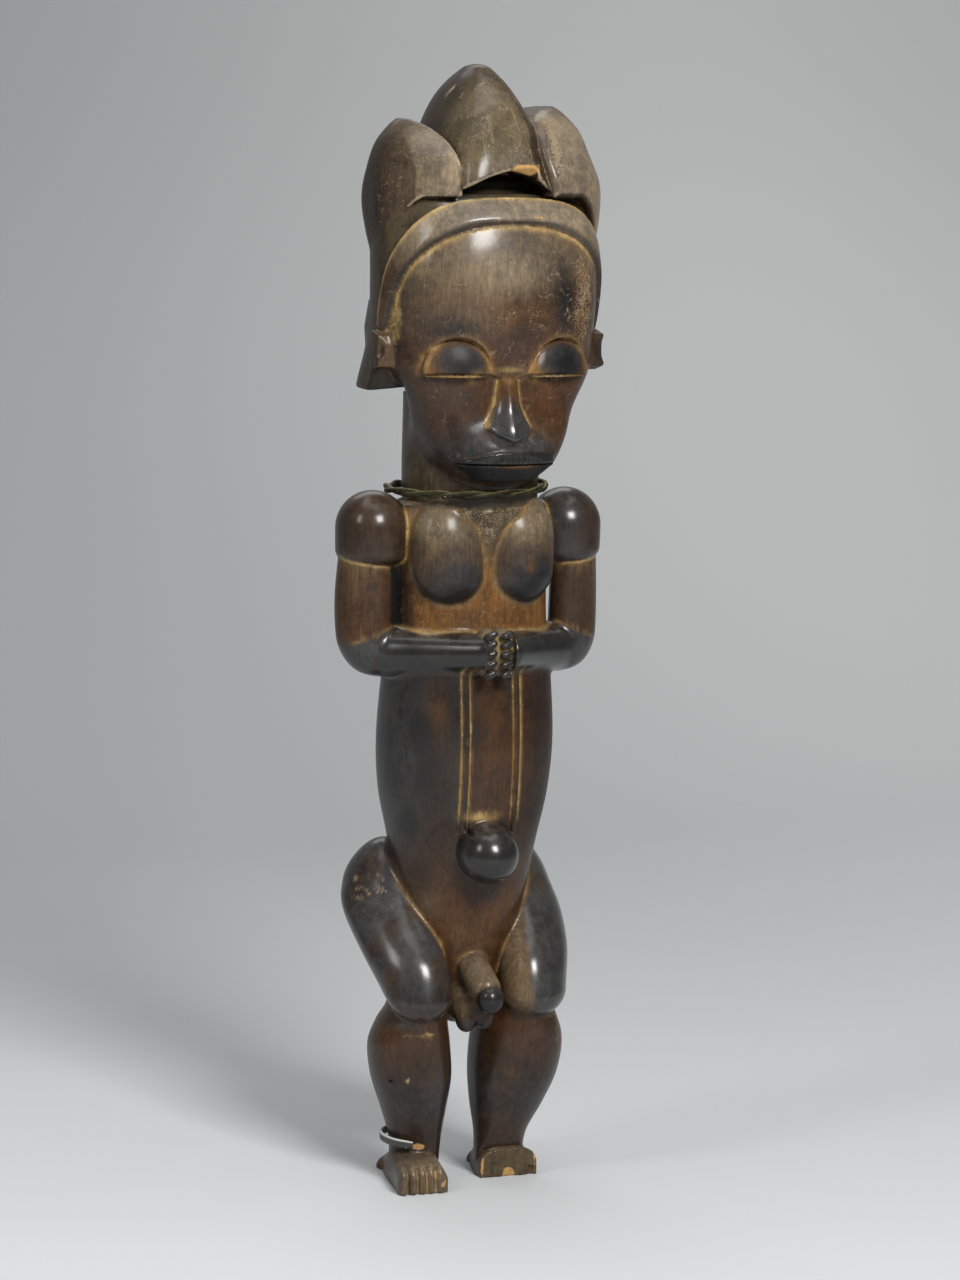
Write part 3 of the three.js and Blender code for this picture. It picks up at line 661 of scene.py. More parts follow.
# %% Thighs
thigh = loft(
    [
        row(91, 16, 18, x=33.5, y=-27),
        row(109, 18.3, 23.2, x=34.8, y=-19),
        row(125, 18.6, 28.2, x=39, y=-8.5),
        row(143, 17.6, 26.4, x=41.8, y=6),
        row(160, 16, 23, x=40, y=17),
        row(183, 15, 18, x=35.5, y=24),
    ],
    dome_bottom=14,
    dome_top=24,
    turn=-math.pi / 6,
)
body.add("thigh", both(ball((20, 18, 157), 26, 25, 27)), soft=6)
right_thigh = without(mirrored(thigh), beyond((-52.5, -12, 112), (-0.82, 0.28, -0.5)), 5)
body.add("thigh", [thigh, right_thigh], soft=2)
body.cut(block((-1, 34, 128), (1, 60, 176)), soft=5)
body.report()

# %% [markdown]
# The calves swell to the back and hardly blend with the thighs, which leaves a crisp crease under each
# knee. They aren't mirror images: his right one is narrower at the knee, and his left ankle is set
# back behind the break, so each has rows of its own.

# %% Calves and loins
left_calf = loft(
    [
        row(8, 13.7, 8.5, 14.5, x=-6.9, y=4),
        row(24, 15, 11.5, 15.5, x=-6.7, y=3),
        row(40, 20.2, 18, 21, x=-4, y=2),
        row(58, 23.2, 24, 28, x=-1.5),
        row(78, 22.4, 27, 29, x=-0.6, y=-1),
        row(98, 17, 24, 24, x=-3.3, y=-2),
        row(118, 13, 19, 20, x=-3, y=-3),
    ],
    dome_top=10,
)
right_calf = loft(
    [
        row(8, 13.3, 11.5, 14.5, x=-4.7, y=4),
        row(24, 14.2, 13.2, 15.5, x=-4.9, y=3),
        row(40, 17.7, 18, 21, x=-3.8, y=2),
        row(58, 21.8, 24, 28, x=-2),
        row(76, 22.2, 27, 29, x=-0.4, y=-1),
        row(88, 19.4, 26.5, 26, x=-1.6, y=-1.5),
        row(98, 15.8, 24, 22, x=-3.6, y=-2),
        row(118, 12, 19, 20, x=-3, y=-3),
    ],
    dome_top=10,
)
CALF_TURN = 0.3
turn_out = about_z(CALF_TURN)
LEFT_CALF_X, RIGHT_CALF_X = 32, -31
left_leg = moved(turned(left_calf, turn_out), LEFT_CALF_X, -5)
body.add("calf", without(left_leg, beyond((0, -9.5, 15.5), (0, -0.85, -0.53)), 2), soft=0.6)
body.add("calf", ball((LEFT_CALF_X, -4, 76), 21.6, 27, 26), soft=3)
body.add("calf", moved(mirrored(turned(right_calf, turn_out)), RIGHT_CALF_X, -5), soft=0.6)
body.cut(limb((-46.5, -40, 59), (-46.5, -20, 59), [0.75, 0.75]), soft=0.2)
body.add("sex", limb((-1, -23, GROIN - 13), (0.5, -37, 109.5), [8.8, 8.6, 8.2, 7.8]), soft=1.5)
body.add("sex tip", ball((1, -42.3, 104.6), 7.3, 7.3, 7.8), soft=0.4)
body.add("sex", ball((0, -16, 99), 13, 15, 14), soft=2)
body.add("sex", [ball((-5, -23, 91), 5.5, 7, 7.5), ball((5.5, -23, 91.5), 5, 6.5, 7)], soft=1.2)
body.report()

# %% [markdown]
# ## Feet
# Each foot is a squared block with a knob of a heel. Four deep cuts part the toes of his right foot.
# The front of the left foot broke off long ago, and its rough end stays as it is.

# %% Feet
HEEL_Y, TOE_Y, BREAK_Y = 27, -37, -12


def foot(heel_x, toe_x, wides, highs, lean):
    """A squared foot from heel to toes, with its half widths and heights at five places on the way."""
    length = HEEL_Y - TOE_Y
    shares = (0, 0.16, 0.45, 0.72, 1)
    squares = (2.6, 2.8, 3.2, 4, 4.5)
    rows = []
    for share, wide, high, square in zip(shares, wides, highs, squares):
        below = 8 if share == 0 else 13
        aside = lean if 0 < share < 1 else 0
        rows.append(row(share * length, wide, below, high, x=aside, y=2, square=square))
    ahead = Vector((toe_x - heel_x, TOE_Y - HEEL_Y, 0)).normalized()
    up = Vector((0, 0, 1))
    side = up.cross(ahead)
    basis = [[side[k], up[k], ahead[k]] for k in range(3)]
    return moved(turned(loft(rows, dome_bottom=5, dome_top=2.5), basis), heel_x, HEEL_Y, 0)


TOE_X = -FOOT_X - 6
right_foot = foot(-FOOT_X + 0.5, TOE_X, (6, 9.5, 12, 13.4, 14), (7, 10, 18, 14.4, 9.6), 1.2)
foot_core = Form(right_foot.low, right_foot.high, lambda x, y, z: right_foot.measure(x, y, z) + 1.1)
body.add("foot", right_foot, soft=1.6)
TOE_STEPS = (-8.6, -3.2, 2.0, 6.8)
for left, right in zip((-13.6,) + TOE_STEPS, TOE_STEPS + (12.6,)):
    half = (right - left) / 2
    body.add("toe", ball((TOE_X + left + half, TOE_Y + 3.4, 5), half * 1.05, 4.8, 9.5), soft=0.5)
for offset in TOE_STEPS:
    gap = block((TOE_X + offset - 0.6, TOE_Y - 8, -3), (TOE_X + offset + 0.6, TOE_Y + 9, 20))
    body.cut(without(gap, foot_core, 0.3), soft=0.4)
rough = lambda x, z: 0.2 * np.sin(x * 1.1 + 0.7 * np.sin(z * 0.9)) + 0.15 * np.sin(z * 1.7 + x * 0.5)
end = Form((-200, -200, -50), (200, BREAK_Y + 2, 90), lambda x, y, z: y - BREAK_Y - rough(x, z))
left_wides, left_highs = (6, 10, 15.6, 16.4, 14), (7, 10, 13.4, 12.4, 9)
left_foot = without(foot(FOOT_X - 1.5, FOOT_X + 0.5, left_wides, left_highs, 0.3), end, 0.4)
chips = [ball((FOOT_X + 1, BREAK_Y - 1.2, 1), 4.5, 2.2, 3.4), ball((FOOT_X + 13, BREAK_Y, 2), 2.2, 2, 3.5)]
for chip in chips:
    left_foot = without(left_foot, chip, 0.3)
body.add("foot", left_foot, soft=1.2)
body.add("foot", [ball((x, HEEL_Y - 1, 0.5), 8, 7.5, 6.5) for x in (-FOOT_X - 1, FOOT_X - 1)], soft=1)
body.cut(beyond((0, 0, 0), (0, 0, -1)), soft=0.3)
print("feet on the ground:", int((body.wood[:, :, 3] < 0).sum()), "places")

# %% [markdown]
# ## Face
# The face widens from the mouth to the temples and is squarer in front than behind. A plane on either
# side slims the cheeks behind, below the ears.

# %% Face
HEAD_STEP = GRAIN_STEP * 0.94
head = Block((-80, -64, 356), (80, 62, 602), HEAD_STEP)
head.add("neck", loft([row(358, NECK_RADIUS - 3), row(368, NECK_RADIUS), row(425, NECK_RADIUS + 0.4)]))
face = loft(
    [
        row(380, 24, 43, 24, FACE_X + 1.5, square=2.3, square_back=2),
        row(MOUTH, 34, 47, 26, FACE_X + 1.5, square=3.6, square_back=2),
        row(403, 40, 47, 28, FACE_X + 1.5, square=4, square_back=2),
        row(419, 46, 45.5, 34, FACE_X + 1, square=3.7, square_back=2),
        row(EYE_LINE, 57, 46, 40, FACE_X, square=3.4, square_back=2.2),
        row(457, 60, 45, 43, FACE_X, square=3.2, square_back=2.3),
        row(474, 58, 43, 43, FACE_X, square=3, square_back=2.3),
    ],
    dome_bottom=5,
)
below_ears = block((-90, -40, 340), (90, 60, EYE_LINE - 6))
for side in (-1, 1):
    behind_cheek = beyond((FACE_X + side * 48, -21, 0), (side * 0.8, 0.6, 0))
    face = without(face, common(below_ears, behind_cheek, 3), 4)
head.add("face", face, soft=6)
head.report()

# %% [markdown]
# The forehead is a great dome that bulges over the face. Two bows are cut into its lower edge over
# closed lids, and their inner ends meet at the root of the nose. Its upper edge follows the diadem,
# whose line is drawn as seen from the side.


# %% Forehead
def dome(swell):
    """The great round of the forehead, swollen by so many millimetres."""
    return loft(
        [
            row(430, 48, 46, 40, FACE_X, square=2.8, square_back=2.2),
            row(441, 54 + swell, 50.5 + swell, 41, FACE_X, square=2.8, square_back=2.2),
            row(457, 59 + swell, 54.5 + swell, 43, FACE_X, square=2.75, square_back=2.3),
            row(478, 60.5 + swell, 57.5 + swell, 44, FACE_X, square=2.7, square_back=2.4),
            row(498, 60 + swell, 57.5 + swell, 44, FACE_X, square=2.6, square_back=2.4),
            row(BAND, 57 + swell, 52.5 + swell, 44, FACE_X, square=2.4),
            row(534, 51 + swell, 44 + swell, 42, FACE_X, square=2.3),
            row(550, 40, 33, 34, FACE_X),
        ],
        dome_bottom=3,
        dome_top=8,
    )


EYE_X, EYE_WIDE, EYE_TALL = 29, 18, 19.5
bow = [(EYE_WIDE * math.cos(a), EYE_TALL * math.sin(a)) for a in np.linspace(math.pi, 0, 22)]
brow = [(-EYE_X - EYE_WIDE, 400.0)]
brow += [(-EYE_X + x, EYE_LINE + z) for x, z in bow]
brow += [(0.0, EYE_LINE - 3.5)]
brow += [(EYE_X + x, EYE_LINE + z) for x, z in bow]
brow += [(EYE_X + EYE_WIDE, 400.0)]
brow = [(x + FACE_X, z) for x, z in brow]
diadem_line = [(-66, 1), (-55, 0.5), (-48.3, -7), (-42.5, -15), (-34, -27), (-27, -41), (-20, -59)]
_, (run_y, run_z) = smooth_columns([(k, y, BAND + z) for k, (y, z) in enumerate(diadem_line)], 31)
path = np.stack([run_y, run_z], 1).astype(float)


def diadem_edge(height):
    """The diadem's lower edge as seen from his side, moved up square to itself."""
    run = np.gradient(path, axis=0)
    run /= np.linalg.norm(run, axis=1)[:, None]
    rise = height * (1 - 0.5 * np.linspace(0, 1, len(path)) ** 2)
    return [tuple(p) for p in path + np.stack([-run[:, 1] * rise, run[:, 0] * rise], 1)]


above = diadem_edge(0.6 * BAND_HEIGHT) + [(60, BAND - 60), (60, TOP + 20), (-90, TOP + 20), (-90, BAND + 9)]
forehead = without(dome(0), pushed_along_y(brow, -90, 80), 0.9)
forehead = without(forehead, pushed_along_x(above, -90, 90), 0.6)
head.add("forehead", forehead, soft=1.6)
print("diadem runs", round(float(np.abs(np.diff(path, axis=0)).sum())), "mm along its side")

# %% [markdown]
# The lids are half domes with a thin lower rim. The nose is a roof that opens into an arrowhead, and
# the lips are pushed forward over no chin, with small teeth cut into the upper one.

# %% Lids, nose and mouth
LID_TIP, LID_YAW = 0.12, 0.2
c, s = math.cos(LID_TIP), math.sin(LID_TIP)
tip = np.array([[1, 0, 0], [0, c, s], [0, -s, c]])
lid = without(ball((0, 0, 0), EYE_WIDE + 0.2, 5.8, EYE_TALL), block((-30, -30, -30), (30, 30, 0)), 0.8)
for side in (-1, 1):
    yaw = np.array(about_z(side * LID_YAW))
    head.add("lid", moved(turned(lid, yaw @ tip), FACE_X + side * EYE_X, -46.6, EYE_LINE + 0.2), soft=1.2)
    inner, outer = (FACE_X + side * (EYE_X - 15.5), -48.6), (FACE_X + side * (EYE_X + 15.5), -42.6)
    middle_rim = (FACE_X + side * EYE_X, -51.2)
    for start, end in ((inner, middle_rim), (middle_rim, outer)):
        head.add("lid rim", limb((*start, EYE_LINE - 0.9), (*end, EYE_LINE - 0.9), [0.7, 0.8, 0.7]), soft=0.6)
arrow = [(-5.2, EYE_LINE + 3), (-6, 424), (-11.8, NOSE_BASE + 6)]
arrow += bend(arrow[-1], (-9, NOSE_BASE + 2.5), (0, NOSE_BASE - 1))
arrow += bend(arrow[-1], (9, NOSE_BASE + 2.5), (11.8, NOSE_BASE + 6)) + [(6, 424), (5.2, EYE_LINE + 3)]
ridge = loft(
    [
        row(NOSE_BASE - 6, 15.5, 12.3, y=-47, square=1.5),
        row(NOSE_BASE + 4, 14, 11.6, y=-47, square=1.5),
        row(421, 8.6, 8.2, y=-45, square=1.6),
        row(EYE_LINE + 4, 7.5, 7.4, y=-42, square=1.5),
    ]
)
head.add("nose", moved(common(pushed_along_y(arrow, -70, -36), ridge, 0.8), FACE_X), soft=0.7)
MOUTH_X = FACE_X + 0.8
head.add("muzzle", ball((MOUTH_X, -36, MOUTH + 6), 27, 18.4, 15), soft=8)
lower_lip = loft(
    [
        row(MOUTH - 10.5, 15, 11.5, 14, y=-38),
        row(MOUTH - 4, 23, 16, 14, y=-38),
        row(MOUTH - 0.4, 29.3, 18, 14, y=-38),
    ],
    dome_bottom=3,
)
head.add("lower lip", moved(lower_lip, MOUTH_X), soft=0.5)
arch = [(-29, MOUTH + 0.8)] + bend((-29, MOUTH + 0.8), (-14, MOUTH + 7.6), (0, MOUTH + 7))
arch += bend((0, MOUTH + 7), (14, MOUTH + 7.6), (29, MOUTH + 5.6)) + [(29.5, MOUTH + 0.4)]
lip_wall = loft([row(MOUTH - 4, 30, 18, 14, y=-38), row(MOUTH + 9, 29, 18.6, 14, y=-38)])
upper_lip = common(pushed_along_y(arch, -70, -30), lip_wall, 0.8)
head.add("upper lip", moved(upper_lip, MOUTH_X), soft=0.5)
lip_core = Form(lip_wall.low, lip_wall.high, lambda x, y, z: lip_wall.measure(x - MOUTH_X, y, z) + 0.9)
TOOTH_STEP = 3.1
for k in range(-7, 8):
    x = MOUTH_X + TOOTH_STEP * k
    tooth_top = MOUTH + 5.6 - 0.012 * (TOOTH_STEP * k) ** 2
    tooth_cut = block((x - 0.4, -60, MOUTH + 1), (x + 0.4, -40, tooth_top))
    head.cut(without(tooth_cut, lip_core, 0.2), soft=0.3)
print("face done:", head.names[1:])

# %% [markdown]
# ## Diadem, ears and coiffure
# A plain band bows from ear to ear. Behind it the helmet coiffure flares out, and three crests stand up
# over it: tall in the middle, lower at the sides, each hollowed under its front edge.

# %% Diadem, ears and helmet
for low_edge, high_edge in ((-1.1, 0.2), (BAND_HEIGHT - 0.2, BAND_HEIGHT + 1.6)):
    groove = pushed_along_x(diadem_edge(low_edge) + diadem_edge(high_edge)[::-1], -80, 80)
    head.cut(without(groove, dome(-1.1), 0.3), soft=0.5)
band = pushed_along_x(diadem_edge(0) + diadem_edge(BAND_HEIGHT)[::-1], -80, 80)
head.add("diadem", common(band, dome(2.8), 1.4), soft=0.3)
ear = [(8, 438), (-3, 441)] + bend((-3, 441), (-6, 449), (-2, 458)) + [(8, 460)]
EAR_Y = -22
for right, left in ((-63.5, -50), (50, 65.5)):
    outer = right if right < 0 else left
    bowl = moved(ball((outer, -26, 450), 3.2, 3.4, 6), 0, -EAR_Y)
    head.add("ear", moved(without(pushed_along_x(ear, right, left), bowl, 1.6), 0, EAR_Y), soft=2.4)
    head.cut(limb((outer * 1.03, -33, 451), (outer * 0.93, -27, 451), [1.3, 1.2, 1.0]), soft=1.2)
helmet = loft(
    [
        row(418, 69.5, 9, 58, 1, square=8, square_back=2.1),
        row(432, 67, 9, 58, 1, square=8, square_back=2.1),
        row(450, 62.5, 9, 58, 1, square=8, square_back=2.1),
        row(466, 60.5, 10, 58, 1, square=6, square_back=2.1),
        row(486, 60.5, 10, 58, 1, square=4, square_back=2.1),
        row(506, 60.5, 19, 58, 1, square=3, square_back=2.1),
        row(524, 57, 26, 56, 1, square=2.5, square_back=2.1),
        row(540, 48, 20, 50, 0, square=2.4, square_back=2.1),
    ],
    dome_top=8,
)
helmet = moved(helmet, 0, -12)
helmet = without(helmet, beyond((0, 0, 434), (0.085, 0, -1)), 1.0)
helmet = without(helmet, block((-28, -72, BAND + BAND_HEIGHT - 1), (28, -22, BAND + 45)), 1.5)
head.add("helmet", helmet, soft=0.8)
print("helmet reaches from", helmet.low.round(1), "to", helmet.high.round(1))

# %% [markdown]
# The middle crest is a loft that a flat outline hollows from the front, which leaves an overhanging
# eave. The eave's broken edge and the knife faces beside it are planes that take wood away, because a
# split and a knife both leave flat facets, where a blend would look soft and modelled.

# %% Middle crest
crest = loft(
    [
        row(428, 20, 10, 44, square=2.6),
        row(466, 24, 16, 52, square=2.6),
        row(500, 26, 38, 56, square=5, square_back=2.6),
        row(526, 28, 51, 56, square=6, square_back=2.6),
        row(538, 28, 51.5, 55, square=6, square_back=2.6),
        row(553, 27, 48, 52, square=4.5, square_back=2.5),
        row(568, 24.2, 41, 46, square=3, square_back=2.4),
        row(582, 18.4, 31, 37, square=2.4),
        row(592, 11.6, 21, 26, square=2.2),
        row(TOP, 4, 8, 10),
    ],
    dome_top=2,
)
prow = [(-32, 490), (-32, 531), (-28, 533)] + bend((-28, 533), (-14, 542.5), (0, 545))
prow += [(5, 544.5), (15, 541.5), (28, 531), (32, 530), (32, 490)]
middle = without(moved(crest, 0, 2), pushed_along_y(prow, -70, -15), 0.8)
broken_block = block((0.5, -62, 536), (16, -34, 549))
broken_edge = common(broken_block, beyond((8, -49.8, 549), (0.05, -0.74, -0.67)), 0.3)
middle = without(middle, broken_edge, 0.4)
middle = without(middle, beyond((9.8, -50, 549), (0.581, -0.733, 0.354)), 1.0)
middle = without(middle, beyond((0.5, -50.6, 553), (0.30, -0.94, 0.16)), 0.5)
head.add("middle crest", middle, soft=0.6)


print("middle crest reaches up to", middle.high[2], "mm")

# %% [markdown]
# The side crests are made in one way and differ in height and flare. An outline that closes like a
# pointed arch is pushed through from front to back and rounded by a loft, and a second outline hollows
# it under its front edge. Two knife faces flatten the outer corner of his right one.

# %% Side crests
ARCH_HALF, ARCH_RISE = 18.2, 28


def side_crest(side, top, spread):
    """One side crest with its top at a height, flared outwards at its foot by its spread."""
    envelope = loft(
        [
            row(top - 78, 54.5 + 1.8 * spread, 44, 30, square=2.6, square_back=2),
            row(top - 58, 60 + 1.1 * spread, 51, 37, square=2.6, square_back=2),
            row(top - 41, 62.5 + 0.5 * spread, 53, 38, square=2.6, square_back=2),
            row(top - 26, 60, 48, 38, square=2.5, square_back=2),
            row(top - 13, 55.5, 39, 36, square=2.3, square_back=2),
            row(top - 4, 48.5, 26, 31),
            row(top + 1, 43, 8, 22),
        ]
    )
    half, spring = ARCH_HALF, top - ARCH_RISE
    t = np.linspace(0, 1, BEND_STEPS + 1)[1:]
    rise = 3 * t * (1 - t) ** 2 * (15 / ARCH_RISE) + 3 * t**2 * (1 - t) + t**3
    reach = (1 - t) ** 3 + 3 * t * (1 - t) ** 2 + 3 * t**2 * (1 - t) * 0.5
    lean = [(4 + 7.4 * h) * (1 - h**6) if side > 0 else 0 for h in rise]
    arch = [(-half, 480), (-half, top - 46), (-half - (4 if side > 0 else 0), spring)]
    for r, h, more in zip(reach, rise, lean):
        arch.append((float(-half * r - more), float(spring + ARCH_RISE * h)))
    for r, h in zip(reach[-2::-1], rise[-2::-1]):
        arch.append((float(half * r), float(spring + ARCH_RISE * h)))
    arch += [(half, spring), (half + spread, top - 44), (half + spread, 480)]
    under = [(-50, 460), (-50, 531), (0, 531)] + bend((0, 531), (9, 527), (14, 506)) + [(40, 460)]
    made = without(pushed_along_y(arch, -70, 60), pushed_along_y(under, -70, -22), 0.8)
    made = moved(made, 43)
    made = common(made if side > 0 else mirrored(made), moved(envelope, 0, 2), 5 if side > 0 else 1.2)
    if side < 0:
        for way in ((-0.84, -0.54, 0.06), (-0.38, -0.92, 0.10)):
            made = without(made, beyond((-46.6, -32.2, top - 23), way), 0.5)
    return made


head.add("side crest", [side_crest(-1, 571, 0.5), side_crest(1, 579, 5.5)], soft=0.6)
print("head block:", head.wood.shape, "places")

# %% [markdown]
# ## Skin of the carving
# The two blocks become two meshes. The neck runs down inside the shoulders, so the joint between them
# is the natural crease at the collar.


# %% Meshes of the head and the body
def carve(name, made, triangles):
    points, faces = skin(made)
    points = relax(points, faces)
    piece = mesh_piece(name, points, faces)
    thin_out(piece, triangles)
    print(name, "points", len(piece.data.vertices), "faces", len(piece.data.polygons))
    return piece


carved = {"carved_body": body, "carved_head": head}
pieces = {name: carve(name, made, MOST_TRIANGLES) for name, made in carved.items()}


# %% [markdown]
# ## What the finish follows
# Old oil stays black where hands pass, goes ochre where it dries in creases, and wears off on edges.
# So each point of the mesh learns how hollow or sharp the wood is there and which form it belongs to.


# %% Ramps and ripples
def ramp(value, low, high):
    t = np.clip((value - low) / (high - low), 0, 1)
    return t * t * (3 - 2 * t)


WAVES = 7


def ripple(points, size, seed):
    """Soft wandering values from 0 to 1 that change over about the size given, in millimetres."""
    rng = np.random.default_rng(seed)
    total = 0
    for _ in range(WAVES):
        way = rng.normal(size=3)
        way /= np.linalg.norm(way)
        turns = 2 * math.pi / (size * rng.uniform(0.7, 1.5))
        total = total + np.sin(points @ way * turns + rng.uniform(0, 6.28))
    return 0.5 + total / WAVES


print("half way along a ramp the value is", float(ramp(5.0, 0, 10)))

# %% [markdown]
# A point's share of wood in the room round it tells a hollow from an edge, in a narrow and in a broad
# reach. The shader's own pointiness knows only one width and works in only one of Blender's renderers.

# %% What each point knows
FINE_REACH, BROAD_REACH = 1.6, 4.5


def read_all(items, name, wide, kind=np.float32):
    values = np.empty(len(items) * wide, kind)
    items.foreach_get(name, values)
    return values.reshape(-1, wide)


class Surface:
    """What is known of each point of a mesh: its place, its form, and how hollow or sharp it is there."""

    def __init__(self, piece, made):
        self.piece, self.made = piece, made
        self.at = read_all(piece.data.vertices, "co", 3) / MM
        self.facing = read_all(piece.data.vertex_normals, "vector", 3)
        inside = self.at - self.facing * made.step
        i = np.clip(np.rint((inside - made.low) / made.step).astype(int), 0, np.array(made.maker.shape) - 1)
        self.form = made.maker[i[:, 0], i[:, 1], i[:, 2]]
        self.x, self.y, self.z = self.at.T
        fine = made.read(made.fullness(FINE_REACH), self.at)
        broad = made.read(made.fullness(BROAD_REACH), self.at)
        self.crease = ramp(fine, 0.56, 0.74)
        self.hollow = ramp(broad, 0.55, 0.78)
        self.edge = ramp(-fine, -0.42, -0.28)
        edges = read_all(piece.data.edges, "vertices", 2, np.int32)
        self.ends = np.concatenate([edges, edges[:, ::-1]])

    def soften(self, values, rounds):
        number = np.bincount(self.ends[:, 0], minlength=len(self.at))
        for _ in range(rounds):
            around = np.bincount(self.ends[:, 0], values[self.ends[:, 1]], len(self.at))
            values = (values + around) / (1 + number)
        return values

    def of(self, *names, rounds=2):
        """One on the forms named, nothing elsewhere, with a soft border."""
        wanted = [self.made.names.index(name) for name in names if name in self.made.names]
        return self.soften(np.isin(self.form, wanted).astype(float), rounds)

    def spot(self, x, z, wide, tall):
        """A soft oval spot on what faces the front."""
        away = ((self.x - x) / wide) ** 2 + ((self.z - z) / tall) ** 2
        return np.exp(-away) * ramp(-self.facing[:, 1], -0.2, 0.3)

    def beside(self, line, wide, axis="y"):
        """A soft line along a run of places, drawn as seen from his side (y) or from his front (x)."""
        u, v = (self.y if axis == "y" else self.x), self.z
        near = np.full(len(u), 1e9)
        for (ax, ay), (bx, by) in zip(line, line[1:]):
            ex, ey = bx - ax, by - ay
            t = np.clip(((u - ax) * ex + (v - ay) * ey) / (ex * ex + ey * ey), 0, 1)
            near = np.minimum(near, (u - ax - ex * t) ** 2 + (v - ay - ey * t) ** 2)
        return np.exp(-near / wide**2)


surfaces = {name: Surface(piece, carved[name]) for name, piece in pieces.items()}
for name, surface in surfaces.items():
    shares = [round(float(values.mean()), 3) for values in (surface.crease, surface.edge)]
    print(name, "share of creases and edges:", shares)

# %% [markdown]
# ## Painting the finish
# Every form has a ground tone of old oil. Tones, gloss, resin, ochre crust, wear and scuffs are then
# brushed over it by place, in named layers, and kept as attributes that the wood material reads.

# %% Tones
TONES = {
    "oil black": (0.012, 0.012, 0.013),
    "slate": (0.030, 0.031, 0.034),
    "dark brown": (0.030, 0.019, 0.013),
    "deep brown": (0.030, 0.014, 0.006),
    "brown": (0.052, 0.031, 0.018),
    "red brown": (0.050, 0.022, 0.009),
    "warm brown": (0.072, 0.034, 0.011),
    "rust": (0.120, 0.058, 0.018),
    "olive": (0.060, 0.048, 0.028),
    "grey brown": (0.108, 0.086, 0.059),
    "pale grey": (0.210, 0.176, 0.130),
    "pale tan": (0.340, 0.270, 0.160),
    "ochre": (0.210, 0.125, 0.045),
    "gold": (0.400, 0.280, 0.110),
}
print("tones:", list(TONES))

# %% [markdown]
# A brush mixes a tone over what is there, by a mask that says where, and can change the gloss with it.
# A layer that is laid keeps the stronger of old and new, so that marks don't wipe each other out.

# %% Brushes
FINISH_LAYERS = ("gloss", "resin", "crust", "bare", "scuff")


class Finish:
    """The painted layers of one piece. A brush covers, and a layer that is laid only ever adds."""

    def __init__(self, surface, ground, gloss):
        self.surface = surface
        number = len(surface.at)
        self.tone = np.tile(np.array(TONES[ground]), (number, 1))
        self.values = {name: np.zeros(number) for name in FINISH_LAYERS}
        self.values["gloss"] += gloss

    def brush(self, name, mask, gloss=None):
        mask = np.clip(mask, 0, 1)
        self.tone += (np.array(TONES[name]) - self.tone) * mask[:, None]
        if gloss is not None:
            self.values["gloss"] += (gloss - self.values["gloss"]) * mask

    def lay(self, name, mask):
        self.values[name] = np.maximum(self.values[name], np.clip(mask, 0, 1))

    def edge_with(self, name, mask, crust):
        """A soft line of dried oil."""
        self.brush(name, mask * 0.75)
        self.lay("crust", mask * crust)

    def seam(self, name, one, other, where, rounds=5, crust=0.5):
        """A soft line where one form meets another."""
        s = self.surface
        meeting = 4 * s.of(one, rounds=rounds) * s.of(other, rounds=rounds)
        self.edge_with(name, np.clip(meeting, 0, 1) * where, crust)

    def report(self, what):
        gloss = self.values["gloss"].mean()
        print(what, "painted, mean gloss so far", round(float(gloss), 3))

    def keep(self, what):
        """Leaves the tone and the layers on the mesh as attributes."""
        mesh = self.surface.piece.data
        layer = mesh.attributes.new("tone", "FLOAT_COLOR", "POINT")
        colour = np.concatenate([self.tone, np.ones((len(self.tone), 1))], 1)
        layer.data.foreach_set("color", colour.astype(np.float32).ravel())
        for name, values in self.values.items():
            layer = mesh.attributes.new(name, "FLOAT", "POINT")
            layer.data.foreach_set("value", values.astype(np.float32))
        print(what, "layers:", {name: round(float(values.mean()), 3) for name, values in self.values.items()})


print("layers besides the tone:", FINISH_LAYERS)

# %% [markdown]
# The trunk is nearly black on his right, where resin ran thick, and a deep red-brown between the belly
# lines. The chest is dry and ochre. Forearms, navel and shoulders are polished by hands.

# %% Finish of the trunk
s = surfaces["carved_body"]
paint = Finish(s, "dark brown", 0.5)
wander = ripple(s.at, 22, 3)
trunk_skin = s.of("trunk", "throat", "belly line")
front = ramp(-s.y, -4, 12)
belly = trunk_skin * ramp(s.z, 165, 200) * ramp(-s.z, -296, -284)
paint.brush("deep brown", belly, 0.45)
paint.brush("deep brown", belly * ramp(s.x, 18, 32) * 0.8, 0.3)
paint.brush("oil black", belly * ramp(s.x, 14, 30) * 0.5, 0.25)
paint.brush("dark brown", belly * (1 - front), 0.5)
paint.brush("dark brown", belly * ramp(-s.x, 12, 22) * 0.9, 0.4)
paint.brush("slate", belly * ramp(-s.x, 26, 40) * 0.85, 0.5)
paint.brush("oil black", s.spot(-21, 262, 7, 30) * belly * 0.9, 0.65)
paint.brush("oil black", s.spot(-19, 208, 8, 14) * belly * 0.8, 0.65)
paint.brush("oil black", s.spot(10, 268, 4.5, 15) * belly * 0.8, 0.7)
paint.brush("warm brown", s.spot(0, 235, 11, 45) * belly * (0.1 + 0.5 * wander), 0.6)
paint.brush("rust", s.spot(-29, 258, 6, 8) * belly * 0.35)
loins = trunk_skin * ramp(-s.z, -184, -150) * ramp(-s.y, -8, 8)
paint.brush("red brown", loins * 0.9, 0.35)
paint.brush("ochre", s.spot(0, 138, 20, 18) * trunk_skin * (0.08 + 0.16 * wander))
paint.brush("grey brown", s.spot(-29, 152, 7, 10) * trunk_skin * 0.5, 0.3)
paint.brush("oil black", s.spot(3, 162, 9, 8) * trunk_skin * 0.7, 0.6)
chest = trunk_skin * ramp(s.z, 291, 301) * front
paint.brush("warm brown", chest, 0.3)
paint.brush("rust", chest * (0.45 + 0.5 * wander), 0.25)
paint.brush("ochre", chest * s.hollow * 0.6, 0.2)
